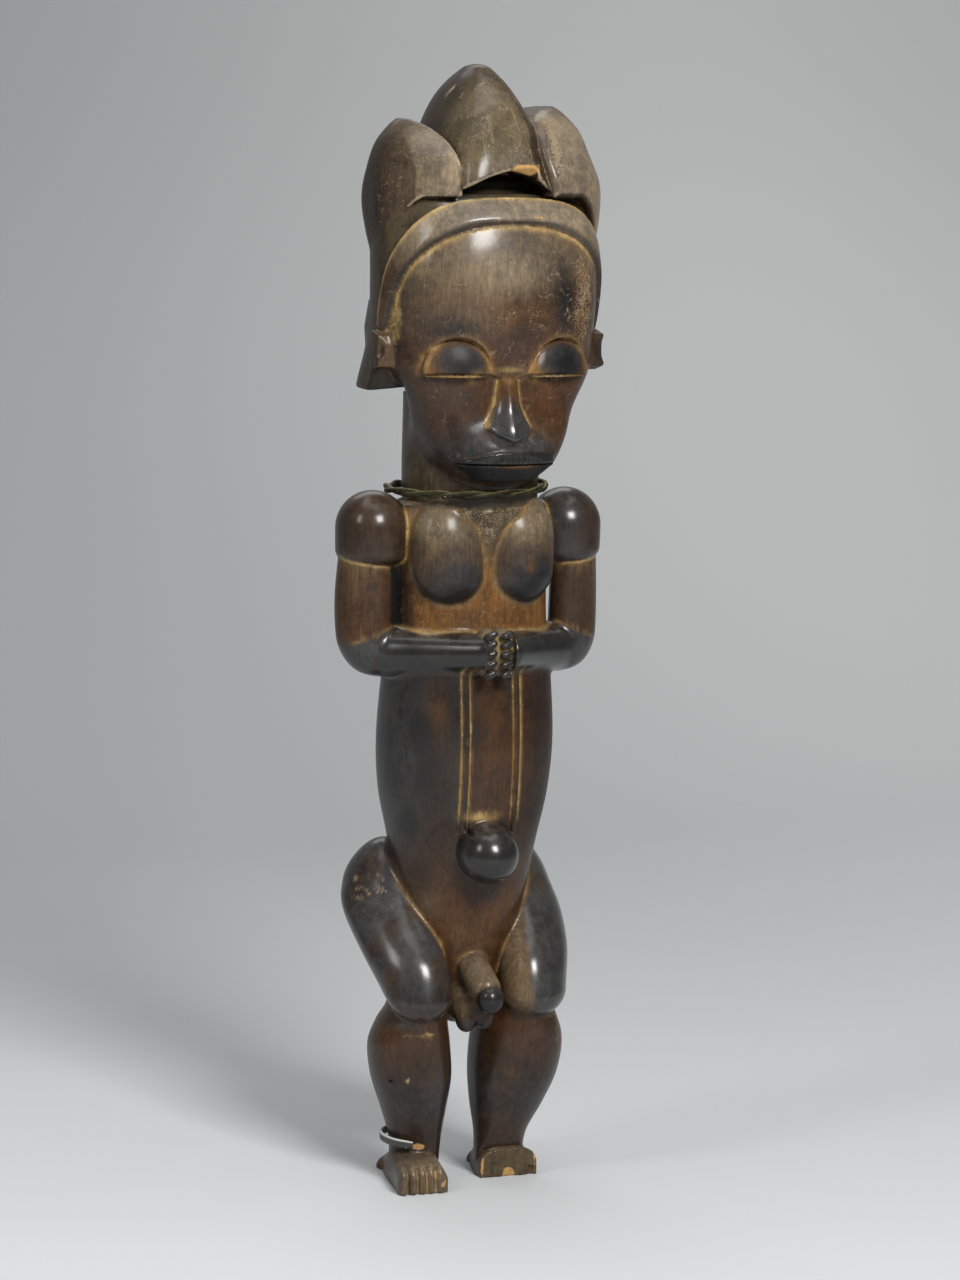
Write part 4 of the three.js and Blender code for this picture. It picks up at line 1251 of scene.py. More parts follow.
paint.brush("grey brown", chest * ramp(s.z, 326, 350) * 0.75, 0.3)
# Painted shade: the sides and back of the upper trunk go dark brown without gloss, for the gaps under the
# arms.
paint.brush("dark brown", trunk_skin * ramp(s.z, 296, 304) * (1 - front), 0.3)
# Painted shade: the armpits between arm and trunk are blackened.
armpit_shade = trunk_skin * ramp(np.abs(s.x), 36, 41) * ramp(s.z, 290, 300) * ramp(-s.z, -348, -336)
paint.brush("oil black", armpit_shade * 0.8, 0)
paint.brush("olive", s.of("throat") * ramp(s.z, 352, 364) * 0.8, 0.25)
paint.brush("grey brown", s.of("breast"), 0.35)
paint.brush("brown", s.of("breast") * ramp(-s.z, -358, -338) * 0.8, 0.5)
for x in (-1, 1):
    paint.brush("slate", s.spot(BREAST_X * x + 2, 326, 14, 14) * s.of("breast") * 1.4, 0.4)
    paint.brush("oil black", s.spot(BREAST_X * x + 3, 321, 13, 11) * s.of("breast") * 1.3, 0.35)
paint.brush("oil black", s.spot(30, 330, 4, 16) * s.of("breast") * 0.9, 0.6)
paint.brush("rust", s.spot(21, 335, 2.6, 2.6) * s.of("breast") * 0.8, 0.3)
paint.brush("oil black", s.of("navel"), 0.85)
paint.report("trunk")

# %% [markdown]
# Hands have polished the shoulders, forearms and thighs, so these shine most. The inner side of his
# left thigh and the toes are rubbed dry and pale. Each change is a ramp along one direction or an oval
# spot, because wear fades out over a hand's breadth and has no sharp border. The dark patch under his
# right knee is partly the wood's slate tone and partly painted shade, and the hole in his right calf is
# painted black as shade.

# %% Finish of the limbs
paint.brush("dark brown", s.of("shoulder"), 0.6)
paint.brush("slate", s.of("shoulder") * ramp(s.x, 20, 40) * ramp(-s.x, -66, -50) * 0.7, 0.7)
paint.brush("brown", s.of("upper arm"), 0.55)
paint.brush("red brown", s.of("upper arm") * ramp(-s.z, -322, -304) * 0.6, 0.55)
paint.brush("dark brown", s.of("upper arm") * ramp(s.x, 0, 10) * 0.6, 0.55)
elbow_line = 299 - 0.4 * (np.abs(s.x) - 58)
below_elbow = ramp(elbow_line - s.z, -1.5, 2.5)
paint.brush("slate", s.of("upper arm") * below_elbow, 0.7)
paint.brush("oil black", s.of("forearm"), 0.85)
paint.brush("slate", s.of("forearm") * ramp(np.abs(s.x), 44, 60) * 0.6, 0.45)
paint.brush("grey brown", s.of("palm") * 0.9, 0.2)
paint.brush("oil black", s.of("finger", rounds=1) * ramp(s.facing[:, 2], -0.7, -0.2), 0.5)
paint.brush("slate", s.of("thigh"), 0.75)
paint.brush("dark brown", s.of("thigh") * ramp(wander, 0.45, 0.75) * 0.7, 0.7)
paint.brush("brown", s.of("thigh") * ramp(-s.z, -112, -92) * 0.5, 0.6)
inner_left = s.of("thigh") * ramp(s.x, 4, 10) * ramp(-s.facing[:, 0], 0.14, 0.48) * ramp(-s.y, 0, 12)
paint.brush("slate", s.of("thigh") * ramp(s.x, 20, 28) * ramp(-s.z, -160, -150) * 0.8, 0.85)
paint.brush("grey brown", inner_left * 0.95, 0.2)
paint.brush("warm brown", inner_left * wander * 0.5, 0.2)
paint.brush("dark brown", s.of("calf"), 0.5)
paint.brush("red brown", s.of("calf") * ramp(s.z, 60, 90) * 0.7, 0.5)
paint.brush("slate", s.of("calf") * ramp(-np.abs(s.z - 46), -20, -4) * 0.55, 0.5)
# Under his right knee the calf is darker: partly its own slate tone, partly painted shade under the thigh.
paint.brush("slate", s.spot(-40, 92, 9, 5) * s.of("calf") * 0.9, 0.5)
paint.brush("warm brown", s.spot(20, 50, 5, 26) * s.of("calf") * wander * 0.9, 0.4)
paint.brush("brown", s.of("foot", "toe"), 0.4)
paint.brush("grey brown", s.of("foot", "toe") * ramp(-s.y, 8, 24) * 0.85, 0.45)
toes = s.of("foot", "toe", rounds=1) * ramp(-s.y, 26, 30)
paint.brush("pale grey", s.spot(TOE_X, 15, 9, 3) * toes * 0.8, 0.75)
for offset in TOE_STEPS:
    groove = np.exp(-(((s.x - TOE_X - offset) / 0.8) ** 2)) * toes * ramp(-s.z, -17, -14)
    paint.edge_with("gold", groove * 0.7, 0.3)
paint.edge_with("ochre", s.crease * s.of("foot", "calf") * ramp(-s.y, 14, 20) * ramp(-s.x, 0, 8) * 0.7, 0.5)
paint.brush("warm brown", s.of("sex"), 0.35)
paint.brush("grey brown", s.of("sex") * ramp(s.z, 102, 108) * 0.8, 0.35)
paint.brush("grey brown", s.spot(-9, 98, 5, 12) * s.of("sex") * 0.8, 0.25)
paint.brush("slate", s.of("sex") * ramp(-s.z, -95, -89) * 0.8, 0.5)
paint.brush("oil black", s.of("sex tip"), 0.55)
paint.brush("oil black", s.spot(1.5, 96.5, 6, 3.5) * s.of("sex"), 0.3)
# Painted shade: the hole in his right calf is painted black inside.
paint.brush("oil black", s.spot(-46.5, 59, 1.1, 1.1), 0.1)
paint.brush("pale tan", s.spot(-39.5, 60, 0.8, 0.7) * 1.2, 0.3)
paint.report("limbs")

# %% [markdown]
# Dried oil stands as gold and ochre lines where one form meets another. The seams are found from the
# forms themselves, where the soft borders of two of them overlap, so the lines follow every crease.
# Bare wood shows at his right ankle, his toes and the broken front of his left foot.

# %% Crust, wear and scuffs of the body
upper = ramp(s.z, 286, 298)
seams = s.crease * np.clip(0.8 * upper * ramp(-s.z, -380, -366) + 0.35 * s.spot(0, 140, 50, 26) + 0.08, 0, 1)
paint.edge_with("gold", seams * (0.4 + 0.6 * wander) * ramp(-s.y, -16, 4), 0.8)
forward = ramp(-s.facing[:, 1], -0.3, 0.4) * ramp(-s.y, -8, 4)
paint.seam("gold", "shoulder", "upper arm", forward * 0.75, 3)
paint.seam("ochre", "shoulder", "trunk", forward * 0.9, 4)
paint.seam("ochre", "shoulder", "breast", forward * 0.7, 4)
paint.seam("ochre", "breast", "trunk", forward * (0.3 + 0.5 * wander), 8, 0.3)
paint.seam("ochre", "breast", "throat", forward * 0.7, 8, 0.3)
paint.seam("gold", "forearm", "trunk", forward * upper * 0.6)
paint.seam("ochre", "thigh", "trunk", forward * (0.4 + 0.5 * wander) * ramp(-s.z, -178, -160), 6, 0.35)
paint.seam("ochre", "thigh", "calf", forward * 0.3 * wander, 6, 0.3)
paint.seam("ochre", "sex", "trunk", forward * 0.6, 5, 0.3)
for side in (-1, 1):
    fold = s.beside([(side * 69, 293.5), (side * 47, 302.5)], 0.9, axis="x") * ramp(-s.y, 2, 10)
    paint.edge_with("ochre", fold * s.of("upper arm", "forearm") * (0.5 + 0.5 * wander), 0.4)
    for edge in BELLY_CUTS:
        line_glow = np.exp(-(((s.x - side * BELLY_LINE_X - edge) / 0.8) ** 2)) * ramp(s.z, 196, 204)
        line_glow *= ramp(-s.z, -285, -280) * ramp(-s.y, 20, 26) * (0.5 + 0.5 * wander)
        paint.edge_with("gold", line_glow * (1.0 if side < 0 or edge > 0 else 0.6), 0.5)
paint.edge_with("gold", s.spot(-5, 202.6, 7.5, 1.9) * 1.2, 0.5)
paint.edge_with("gold", s.crease * s.of("finger", "palm", rounds=1) * ramp(-s.y, 44, 48) * 0.5, 0.4)
paint.edge_with("ochre", s.crease * inner_left * 0.6 + s.spot(12, 120, 9, 16) * inner_left * 0.3, 0.3)
knee_oil = s.spot(-38, 85, 9, 2.2) + s.spot(-30, 84, 5, 3) + s.spot(46, 82, 2.5, 8) + s.spot(42, 91, 6, 1.6)
paint.lay("crust", knee_oil * s.of("calf") * 0.4)
paint.lay("bare", s.spot(-28, 20.8, 4.6, 1.9) * s.of("calf", "foot") * 0.95)
paint.lay("bare", s.spot(TOE_X + 11, 5, 2.6, 3) * s.of("foot", "toe") * 0.75)
broken = s.of("foot", rounds=1) * ramp(s.x, 0, 5) * ramp(-s.y, 9.5, 11)
paint.brush("olive", broken * 0.8, 0.25)
pale_chip = s.spot(FOOT_X, 2, 3.4, 3) * 1.3
pale_chip += s.spot(FOOT_X - 15.4, 8, 1.3, 7) * 0.7 + s.spot(FOOT_X + 15, 8, 0.9, 6) * 0.5
paint.lay("bare", broken * np.clip(pale_chip + s.edge * 0.3 * wander, 0, 1))
rng = np.random.default_rng(4)
strokes = np.zeros(len(s.at))
for _ in range(9):
    x, z = rng.uniform(-63, -45), rng.uniform(150, 166)
    a, half = rng.uniform(-1.2, 1.2), rng.uniform(0.5, 2.2)
    reach = (half * math.cos(a), half * math.sin(a))
    run = [(x - reach[0], z - reach[1]), (x + reach[0], z + reach[1])]
    strokes = np.maximum(strokes, s.beside(run, 0.4, axis="x"))
paint.brush("pale tan", strokes * s.of("thigh") * ramp(-s.facing[:, 1], 0, 0.3) * 0.6, 0.2)
paint.lay("scuff", s.edge * 0.3 * (0.3 + wander))
paint.lay("scuff", s.of("breast", "throat") * ramp(s.z, 340, 356) * 0.3 + chest * 0.25)
paint.lay("scuff", s.spot(-53, 158, 12, 9) * 0.2 * s.of("thigh") + inner_left * 0.3)
paint.lay("resin", belly * (0.22 + 0.3 * ramp(-s.x, -6, 20)) * wander * 1.3)
paint.lay("resin", s.of("calf") * 0.3 * wander + s.of("shoulder") * 0.3 * ramp(s.x, 0, 20))
paint.lay("resin", s.of("upper arm") * 0.25 + s.of("thigh") * 0.15)
paint.keep("body")

# %% [markdown]
# The head is oiled brown. The top of the forehead is pale, partly rubbed dry and partly painted as a
# highlight, the diadem lies between two gold lines of dried oil, and the lids, nose and lips are slate
# black.

# %% Finish of the face
s = surfaces["carved_head"]
paint = Finish(s, "brown", 0.45)
wander = ripple(s.at, 26, 5)
paint.brush("olive", s.of("neck"), 0.35)
paint.brush("dark brown", s.of("neck") * ramp(wander, 0.5, 0.8) * 0.6, 0.4)
# Painted shadow: the neck just under the lips and jaw goes dark brown.
paint.brush("dark brown", s.of("neck", "face") * s.spot(4, 376, 26, 8) * 0.8, 0.4)
paint.brush("brown", s.of("face"), 0.5)
cheeks = s.of("face", "muzzle", rounds=4) * ramp(-s.y, 24, 36)
paint.brush("red brown", cheeks * 0.8, 0.5)
paint.brush("warm brown", cheeks * (s.spot(-13, 420, 9, 14) + s.spot(20, 420, 13, 16)) * 0.8, 0.5)
paint.brush("dark brown", s.of("face") * ramp(-s.x, 14, 32) * 0.75, 0.4)
brow_skin = s.of("forehead")
paint.brush("red brown", brow_skin, 0.5)
paint.brush("brown", brow_skin * ramp(s.z, 448, 470) * 0.7, 0.5)
# The paler top of the forehead is partly rubbed dry wood and partly a painted highlight.
paint.brush("grey brown", brow_skin * ramp(s.z, 474, 494) * ramp(-s.y, 10, 40) * 0.75, 0.5)
paint.brush("pale grey", s.spot(-6, 492, 20, 12) * brow_skin * 0.6, 0.55)
paint.brush("warm brown", s.spot(2, 470, 34, 9) * 0.7 * brow_skin, 0.3)
paint.brush("grey brown", brow_skin * ramp(-s.x, -10, 26) * ramp(s.z, 450, 470) * 0.42, 0.55)
paint.brush("oil black", s.spot(31, 478, 7.5, 22) * 1.05 * brow_skin, 0.4)
paint.brush("oil black", s.spot(-28, 461, 10, 7) * 0.9 * brow_skin, 0.5)
paint.brush("dark brown", s.spot(1, 452, 12, 9) * 0.6 * brow_skin, 0.5)
paint.brush("rust", s.spot(43, 476, 7, 22) * 0.5 * brow_skin, 0.2)
paint.brush("warm brown", s.of("lid", "lid rim"), 0.35)
for side in (-1, 1):
    lid_middle = s.spot(FACE_X + side * EYE_X + 1, EYE_LINE + 7.5, 13, 9)
    paint.brush("slate", s.of("lid") * lid_middle * 1.5, 0.07)
    paint.brush("oil black", s.of("lid") * s.spot(FACE_X + side * EYE_X + 2, EYE_LINE + 6, 9, 7) * 1.2, 0.06)
# The gold on the lower lid rims is partly dried oil and partly a painted highlight.
paint.brush("gold", s.of("lid rim", rounds=1) * 0.35, 0.4)
lid_domes = s.spot(FACE_X - EYE_X, EYE_LINE + 5, 17, 16) + s.spot(FACE_X + EYE_X, EYE_LINE + 5, 17, 16)
lid_border = s.of("lid") * ramp(lid_domes, 0.6, 0.3)
paint.brush("ochre", lid_border * 0.5, 0.3)
paint.brush("warm brown", s.of("nose"), 0.45)
paint.brush("slate", s.of("nose") * ramp(-s.z, -432, -416), 1.0)
jaw = s.of("muzzle", "face", rounds=6)
jowl = (s.spot(-15, 397, 14, 9) + s.spot(18, 399, 12, 9) + s.spot(2, 400, 16, 6)) * jaw
paint.brush("slate", jowl, 0.22)
paint.brush("slate", s.spot(-16, 409, 8, 7) * jaw * 0.9, 0.08)
paint.brush("oil black", s.of("upper lip"), 0.6)
paint.brush("oil black", s.of("lower lip"), 0.1)
paint.brush("warm brown", s.of("upper lip", rounds=1) * s.crease * 0.6, 0.3)
paint.brush("rust", s.spot(FACE_X + 4, MOUTH - 0.5, 9, 0.9) * s.of("lower lip") * 0.6, 0.3)
paint.report("face")

# %% [markdown]
# The diadem and the crests are grey with dust where it settles. Under the eaves, inside the arches and
# below the rim the wood is painted dark as shade. This painted shade follows the way the wood faces
# there, which a tone painted by height alone couldn't do.

# %% Finish of the diadem and crests
paint.brush("grey brown", s.of("diadem"), 0.55)
paint.brush("pale grey", s.of("diadem") * ramp(s.z, 503, 520) * 0.75, 0.65)
paint.brush("brown", s.of("diadem") * ramp(-s.z, -506, -486), 0.45)
crests = s.of("middle crest", "side crest")
paint.brush("olive", s.of("helmet"), 0.3)
paint.brush("olive", s.of("middle crest"), 0.4)
paint.brush("grey brown", s.of("side crest"), 0.45)
paint.brush("grey brown", s.of("middle crest") * ramp(wander, 0.4, 0.7) * 0.6, 0.4)
paint.brush("pale grey", s.of("side crest") * ramp(s.x, 20, 34) * 0.6, 0.4)
paint.brush("pale grey", s.of("side crest") * ramp(s.x, -44, -30) * ramp(-s.x, 0, 20) * 0.6, 0.45)
paint.brush("dark brown", s.of("side crest") * ramp(-s.x, 46.5, 48.5) * 0.75, 0.4)
paint.brush("dark brown", s.of("helmet", "side crest", "middle crest") * ramp(s.y, -26, -4) * 0.85, 0.35)
chamfer = s.of("middle crest") * ramp(s.facing[:, 0], 0.4, 0.52) * ramp(-s.y, 20, 30)
paint.brush("dark brown", chamfer * 0.9, 0.5)
facing_down = ramp(-s.facing[:, 2], 0.2, 0.6)
# Painted shade: faces that turn down under the eaves and inside the arches are darkened.
arch_shade = s.of("middle crest", "side crest", "helmet") * facing_down * ramp(-s.y, 6, 14)
paint.brush("dark brown", arch_shade * 0.9, 0.2)
# Painted shade: the hollows under the prow of the middle crest are blackened.
paint.brush("oil black", s.of("helmet", "middle crest") * s.hollow * ramp(s.z, 526, 532) * 0.7, 0.1)
paint.brush("brown", s.of("ear"), 0.35)
paint.brush("dark brown", s.of("ear") * ramp(-s.x, 59, 61) * 0.7, 0.35)
paint.brush("dark brown", s.of("ear") * ramp(s.x, 20, 30) * 0.9, 0.3)
paint.brush("gold", s.of("ear") * ramp(-s.facing[:, 1], 0.4, 0.8) * ramp(-s.x, 20, 30) * 0.15 * wander, 0.2)
# Painted shade: the front of the helmet's nape part below the ears is blackened.
rim_front_shade = s.of("helmet") * ramp(-s.z, -458, -450) * ramp(-s.facing[:, 1], 0.1, 0.5)
paint.brush("oil black", rim_front_shade * 0.9, 0.1)
# Painted shade: the underside of the helmet's rim is blackened.
under_rim_shade = s.of("helmet") * ramp(-s.z, -446, -440) * facing_down
paint.brush("oil black", under_rim_shade * 0.9, 0.1)
paint.report("diadem and crests")

# %% [markdown]
# Two gold lines of dried oil bound the diadem, and ochre outlines the bows over the lids and the nose.
# The broken eave of the middle crest shows bare wood, and a few pale strokes on it are scratches.

# %% Crust, wear and scuffs of the head
fore = ramp(-s.y, -12, 4)
lower_line = s.beside(diadem_edge(-1.8), 1.7) * np.clip(s.of("forehead", "face", rounds=1), 0, 1)
upper_line = s.beside(diadem_edge(BAND_HEIGHT - 0.9), 1.4) * np.clip(s.of("diadem", rounds=1), 0, 1)
# Painted shadow: a thin black line just under the diadem's lower edge.
paint.brush("oil black", s.beside(diadem_edge(-0.3), 0.7) * fore * 0.8)
paint.edge_with("gold", lower_line * fore * (0.75 + 0.3 * wander), 0.5)
paint.edge_with("gold", upper_line * fore * (0.85 + 0.3 * wander), 0.6)
crest_creases = s.crease * s.of("side crest", "helmet", "diadem", rounds=4)
paint.edge_with("ochre", crest_creases * ramp(-s.y, 0, 10) * 0.5, 0.5)
bows = s.beside(brow[1:-1], 1.9, axis="x") * ramp(-s.y, 34, 40) * ramp(-s.facing[:, 1], -0.5, 0.3)
paint.edge_with("ochre", bows * (0.6 + 0.4 * wander), 0.35)
paint.edge_with("gold", (s.spot(-18.5, 437, 3, 3) + s.spot(17, 437, 3, 2.5)) * 0.6, 0.3)
nose_line = [(5.4, 440), (7.0, 424), (12.6, 411)]
for side in (-1, 1):
    line = s.beside([(FACE_X + side * x, z) for x, z in nose_line], 1.1, axis="x") * ramp(-s.y, 38, 42)
    paint.edge_with("gold", line * s.of("face", "nose", rounds=2) * 0.8, 0.4)
paint.edge_with("gold", s.spot(FACE_X, 441, 8, 1.4) * 0.7, 0.4)
paint.lay("crust", s.spot(-56, 468, 6, 20) * s.of("forehead", "face") * ramp(-s.x, 50, 56) * 0.7)
paint.lay("crust", s.spot(43, 478, 9, 22) * 0.27 * brow_skin + s.spot(3, 470, 34, 9) * 0.08 * brow_skin)
paint.lay("crust", s.of("neck") * 0.22 * wander)
paint.lay("bare", s.spot(8.5, 545.3, 8.5, 3.6) * s.of("middle crest", rounds=1) * 1.15)
chipped_top = s.beside([(1.0, 583.5), (-2.0, 587.5)], 1.0) * ramp(-s.x, 8, 12) * s.of("middle crest")
paint.brush("pale tan", chipped_top * 1.4, 0.2)
SCRATCHES = [
    [(0, 567), (1, 550)],
    [(-8, 574), (-8.5, 560)],
    [(6, 577), (7.5, 566)],
    [(-13, 560), (-13.5, 549)],
]
for run in SCRATCHES:
    scratch = s.beside(run, 0.5, axis="x") * ramp(-s.y, 20, 30) * s.of("middle crest")
    paint.brush("pale tan", scratch * 0.22, 0.3)
paint.lay("bare", s.spot(13, 521.2, 12, 0.9) * s.of("diadem") * (0.45 + 0.35 * wander))
paint.lay("scuff", s.edge * 0.7 * crests * (0.4 + wander) + crests * 0.34 * ramp(-s.y, 4, 16))
paint.lay("scuff", s.spot(-6, 497, 18, 9) * 0.45 * brow_skin + s.spot(2, 470, 38, 15) * 0.4 * brow_skin)
paint.lay("scuff", s.spot(42, 478, 11, 26) * 0.44 * brow_skin + 0.24 * brow_skin)
paint.lay("scuff", s.of("side crest") * s.spot(28, 556, 6, 20) * 0.8 + s.of("diadem") * 0.25 + cheeks * 0.15)
paint.lay("resin", (brow_skin * ramp(-s.z, -476, -455) * 0.4 + s.of("face") * 0.3) * wander * 1.3)
paint.lay("resin", s.of("neck") * 0.35 * wander + crests * 0.25 * wander + s.of("helmet") * 0.3)
paint.keep("head")

# %% [markdown]
# ## Shared effects
# Grain, speckle, dust and scratches are kept apart from the wood as node groups with inputs of their
# own, so that metal and paper can use them too. Small helpers make nodes and join them in one line.


# %% Node helpers
def add_node(tree, kind, inputs=None, **settings):
    """A new node with its settings. Each input is a number, a colour, or an output to link it to."""
    made = tree.nodes.new(kind)
    for key, value in settings.items():
        setattr(made, key, value)
    for key, value in (inputs or {}).items():
        if isinstance(value, bpy.types.NodeSocket):
            tree.links.new(value, made.inputs[key])
        else:
            made.inputs[key].default_value = value
    return made


def mixed(tree, share, a, b, blend="MIX"):
    made = add_node(tree, "ShaderNodeMix", {0: share, 6: a, 7: b}, data_type="RGBA", blend_type=blend)
    return made.outputs[2]


def sums(tree, operation, a, b=0.0, clamp=False):
    made = add_node(tree, "ShaderNodeMath", {0: a, 1: b}, operation=operation, use_clamp=clamp)
    return made.outputs[0]


def plus(tree, a, b, clamp=False):
    return sums(tree, "ADD", a, b, clamp)


def minus(tree, a, b, clamp=False):
    return sums(tree, "SUBTRACT", a, b, clamp)


def times(tree, a, b, clamp=False):
    return sums(tree, "MULTIPLY", a, b, clamp)


def larger(tree, a, b, clamp=False):
    return sums(tree, "MAXIMUM", a, b, clamp)


def varied(tree, value, pattern, amount):
    """A value pushed up and down by a pattern that runs from 0 to 1."""
    return plus(tree, value, times(tree, minus(tree, pattern, 0.5), amount))


def spread(tree, value, low, high, to_low=0.0, to_high=1.0):
    inputs = {"Value": value, "From Min": low, "From Max": high, "To Min": to_low, "To Max": to_high}
    return add_node(tree, "ShaderNodeMapRange", inputs, interpolation_type="SMOOTHSTEP").outputs[0]


print("helpers for nodes and values are ready")

# %% [markdown]
# A group gets its named sockets through the interface of its tree. Nearly every pattern starts from
# noise, read at the object's own place so that it stays put when he is moved.


# %% Helpers for groups and patterns
def new_group(name, inputs, outputs):
    tree = bpy.data.node_groups.new(name, "ShaderNodeTree")
    for label, kind, value in inputs:
        socket = tree.interface.new_socket(label, in_out="INPUT", socket_type=kind)
        if value is not None:
            socket.default_value = value
    for label, kind in outputs:
        tree.interface.new_socket(label, in_out="OUTPUT", socket_type=kind)
    return tree, tree.nodes.new("NodeGroupInput").outputs, tree.nodes.new("NodeGroupOutput").inputs


def noise(tree, place, scale, detail, rough, distort=0.0):
    inputs = {"Vector": place, "Scale": scale, "Detail": detail, "Roughness": rough, "Distortion": distort}
    return add_node(tree, "ShaderNodeTexNoise", inputs).outputs["Fac"]


def own_place(tree):
    return add_node(tree, "ShaderNodeTexCoord").outputs["Object"]


print("helpers for groups and patterns are ready")

# %% [markdown]
# The fibres run up the block, so their noise is drawn out along that line. Clouds are old oil and mottle
# is fine unevenness. The groups give plain values, and each material mixes its own colours with them.

# %% Shared groups
grain_tree, into, out = new_group(
    "Long grain",
    [("Fineness", "NodeSocketFloat", 1.0), ("Stretch", "NodeSocketFloat", 0.06)],
    [(label, "NodeSocketFloat") for label in ("Fibres", "Clouds", "Mottle")],
)
place = own_place(grain_tree)
squeeze = add_node(grain_tree, "ShaderNodeCombineXYZ", {0: 1.0, 1: 1.0, 2: into["Stretch"]}).outputs[0]
along = add_node(grain_tree, "ShaderNodeVectorMath", {0: place, 1: squeeze}, operation="MULTIPLY").outputs[0]
fibre_scale = times(grain_tree, into["Fineness"], 620.0)
grain_tree.links.new(noise(grain_tree, along, fibre_scale, 4.0, 0.65, 1.2), out["Fibres"])
grain_tree.links.new(noise(grain_tree, place, 32.0, 5.0, 0.6, 0.4), out["Clouds"])
grain_tree.links.new(noise(grain_tree, place, 190.0, 4.0, 0.65, 0.6), out["Mottle"])

speckle_tree, into, out = new_group(
    "Fine speckle",
    [
        ("Place", "NodeSocketVector", None),
        ("Size", "NodeSocketFloat", 1.0),
        ("Amount", "NodeSocketFloat", 0.5),
    ],
    [("Mask", "NodeSocketFloat")],
)
speck_scale = sums(speckle_tree, "DIVIDE", 1400.0, into["Size"])
speck = noise(speckle_tree, into["Place"], speck_scale, 2.0, 0.6)
patchy = noise(speckle_tree, into["Place"], 120.0, 3.0, 0.6)
level = plus(speckle_tree, speck, times(speckle_tree, patchy, 0.5))
cut_off = minus(speckle_tree, 1.15, times(speckle_tree, into["Amount"], 0.65))
over_level = minus(speckle_tree, level, cut_off)
speckle_tree.links.new(spread(speckle_tree, over_level, -0.02, 0.06), out["Mask"])

dust_tree, into, out = new_group(
    "Settled dust",
    [("Place", "NodeSocketVector", None), ("Amount", "NodeSocketFloat", 0.3)],
    [("Mask", "NodeSocketFloat")],
)
facing = add_node(dust_tree, "ShaderNodeNewGeometry").outputs["Normal"]
upward = add_node(dust_tree, "ShaderNodeSeparateXYZ", {0: facing}).outputs[2]
settled = times(dust_tree, spread(dust_tree, upward, 0.2, 0.95), into["Amount"])
broken = spread(dust_tree, noise(dust_tree, into["Place"], 160.0, 4.0, 0.65), 0.35, 0.65)
dust_tree.links.new(times(dust_tree, settled, broken, True), out["Mask"])

scratch_tree, into, out = new_group(
    "Short scratches",
    [("Place", "NodeSocketVector", None), ("Amount", "NodeSocketFloat", 0.5)],
    [("Mask", "NodeSocketFloat")],
)
bent = noise(scratch_tree, into["Place"], 85.0, 1.0, 0.5, 1.5)
line = sums(scratch_tree, "ABSOLUTE", minus(scratch_tree, bent, 0.5))
thin = spread(scratch_tree, line, 0.004, 0.016, 1.0, 0.0)
pieces_of_line = spread(scratch_tree, noise(scratch_tree, into["Place"], 240.0, 2.0, 0.5), 0.50, 0.56)
scratched = times(scratch_tree, thin, pieces_of_line)
scratched = times(scratch_tree, scratched, into["Amount"])
scratch_tree.links.new(scratched, out["Mask"])
print("shared effects:", [group.name for group in bpy.data.node_groups])


# %% [markdown]
# ## Oiled wood
# A material starts from the plain surface shader. It reads the painted layers as attributes, so the
# finish stays with the mesh, and it takes the shared groups in as single nodes.


# %% Helpers for materials
def material(name):
    made = bpy.data.materials.new(name)
    made.use_nodes = True
    tree = made.node_tree
    return made, tree, tree.nodes["Principled BSDF"]


def attribute(tree, name, colour=False):
    node = add_node(tree, "ShaderNodeAttribute", attribute_name=name, attribute_type="GEOMETRY")
    return node.outputs["Color" if colour else "Fac"]


def grouped(tree, group, **inputs):
    return add_node(tree, "ShaderNodeGroup", inputs, node_tree=group).outputs


print("helpers for materials are ready")

# %% [markdown]
# The painted tone is the ground. Fibres and clouds vary it, resin darkens it, ochre crust collects
# where it was laid, and speckled bare wood shows where it wore through. One colour is mixed over the
# other in the order in which they came onto the wood.

# %% Colour of the wood
RESIN_BLACK, DUST_GREY, SCUFF_PALE = (0.014, 0.013, 0.013, 1), (0.20, 0.16, 0.11, 1), (0.33, 0.26, 0.17, 1)
OCHRE_DARK, OCHRE_PALE = (0.14, 0.080, 0.030, 1), (0.46, 0.33, 0.14, 1)
BARE_DARK, BARE_PALE = (0.24, 0.12, 0.04, 1), (0.60, 0.37, 0.15, 1)
oiled_wood, tree, shader = material("oiled_wood")
place = own_place(tree)
grain = grouped(tree, grain_tree, Fineness=1.0, Stretch=0.09)
ground = attribute(tree, "tone", colour=True)
gloss, resin, crust, bare, scuff = (attribute(tree, name) for name in FINISH_LAYERS)
lighter = mixed(tree, 1.0, ground, (1.6, 1.46, 1.26, 1), "MULTIPLY")
darker = mixed(tree, 1.0, ground, (0.48, 0.46, 0.50, 1), "MULTIPLY")
cloud = plus(tree, times(tree, grain["Clouds"], 0.6), times(tree, grain["Mottle"], 0.4))
clouded = mixed(tree, spread(tree, cloud, 0.36, 0.64), darker, lighter)
colour = mixed(tree, 0.72, ground, clouded)
fibred = mixed(tree, spread(tree, grain["Fibres"], 0.3, 0.7), (0.76, 0.755, 0.75, 1), (1.24, 1.22, 1.18, 1))
colour = mixed(tree, 1.0, colour, fibred, "MULTIPLY")
resin_edge = varied(tree, varied(tree, resin, cloud, 2.2), grain["Fibres"], 0.5)
resin_mask = times(tree, spread(tree, resin_edge, 0.30, 0.62), spread(tree, resin, 0.02, 0.2))
colour = mixed(tree, times(tree, resin_mask, 0.8), colour, RESIN_BLACK)
dusty = grouped(tree, dust_tree, Place=place, Amount=0.16)["Mask"]
colour = mixed(tree, dusty, colour, DUST_GREY)
scuffs = grouped(tree, speckle_tree, Place=place, Size=1.3, Amount=scuff)["Mask"]
lines = grouped(tree, scratch_tree, Place=place, Amount=scuff)["Mask"]
pale = larger(tree, times(tree, scuffs, 0.55), lines, True)
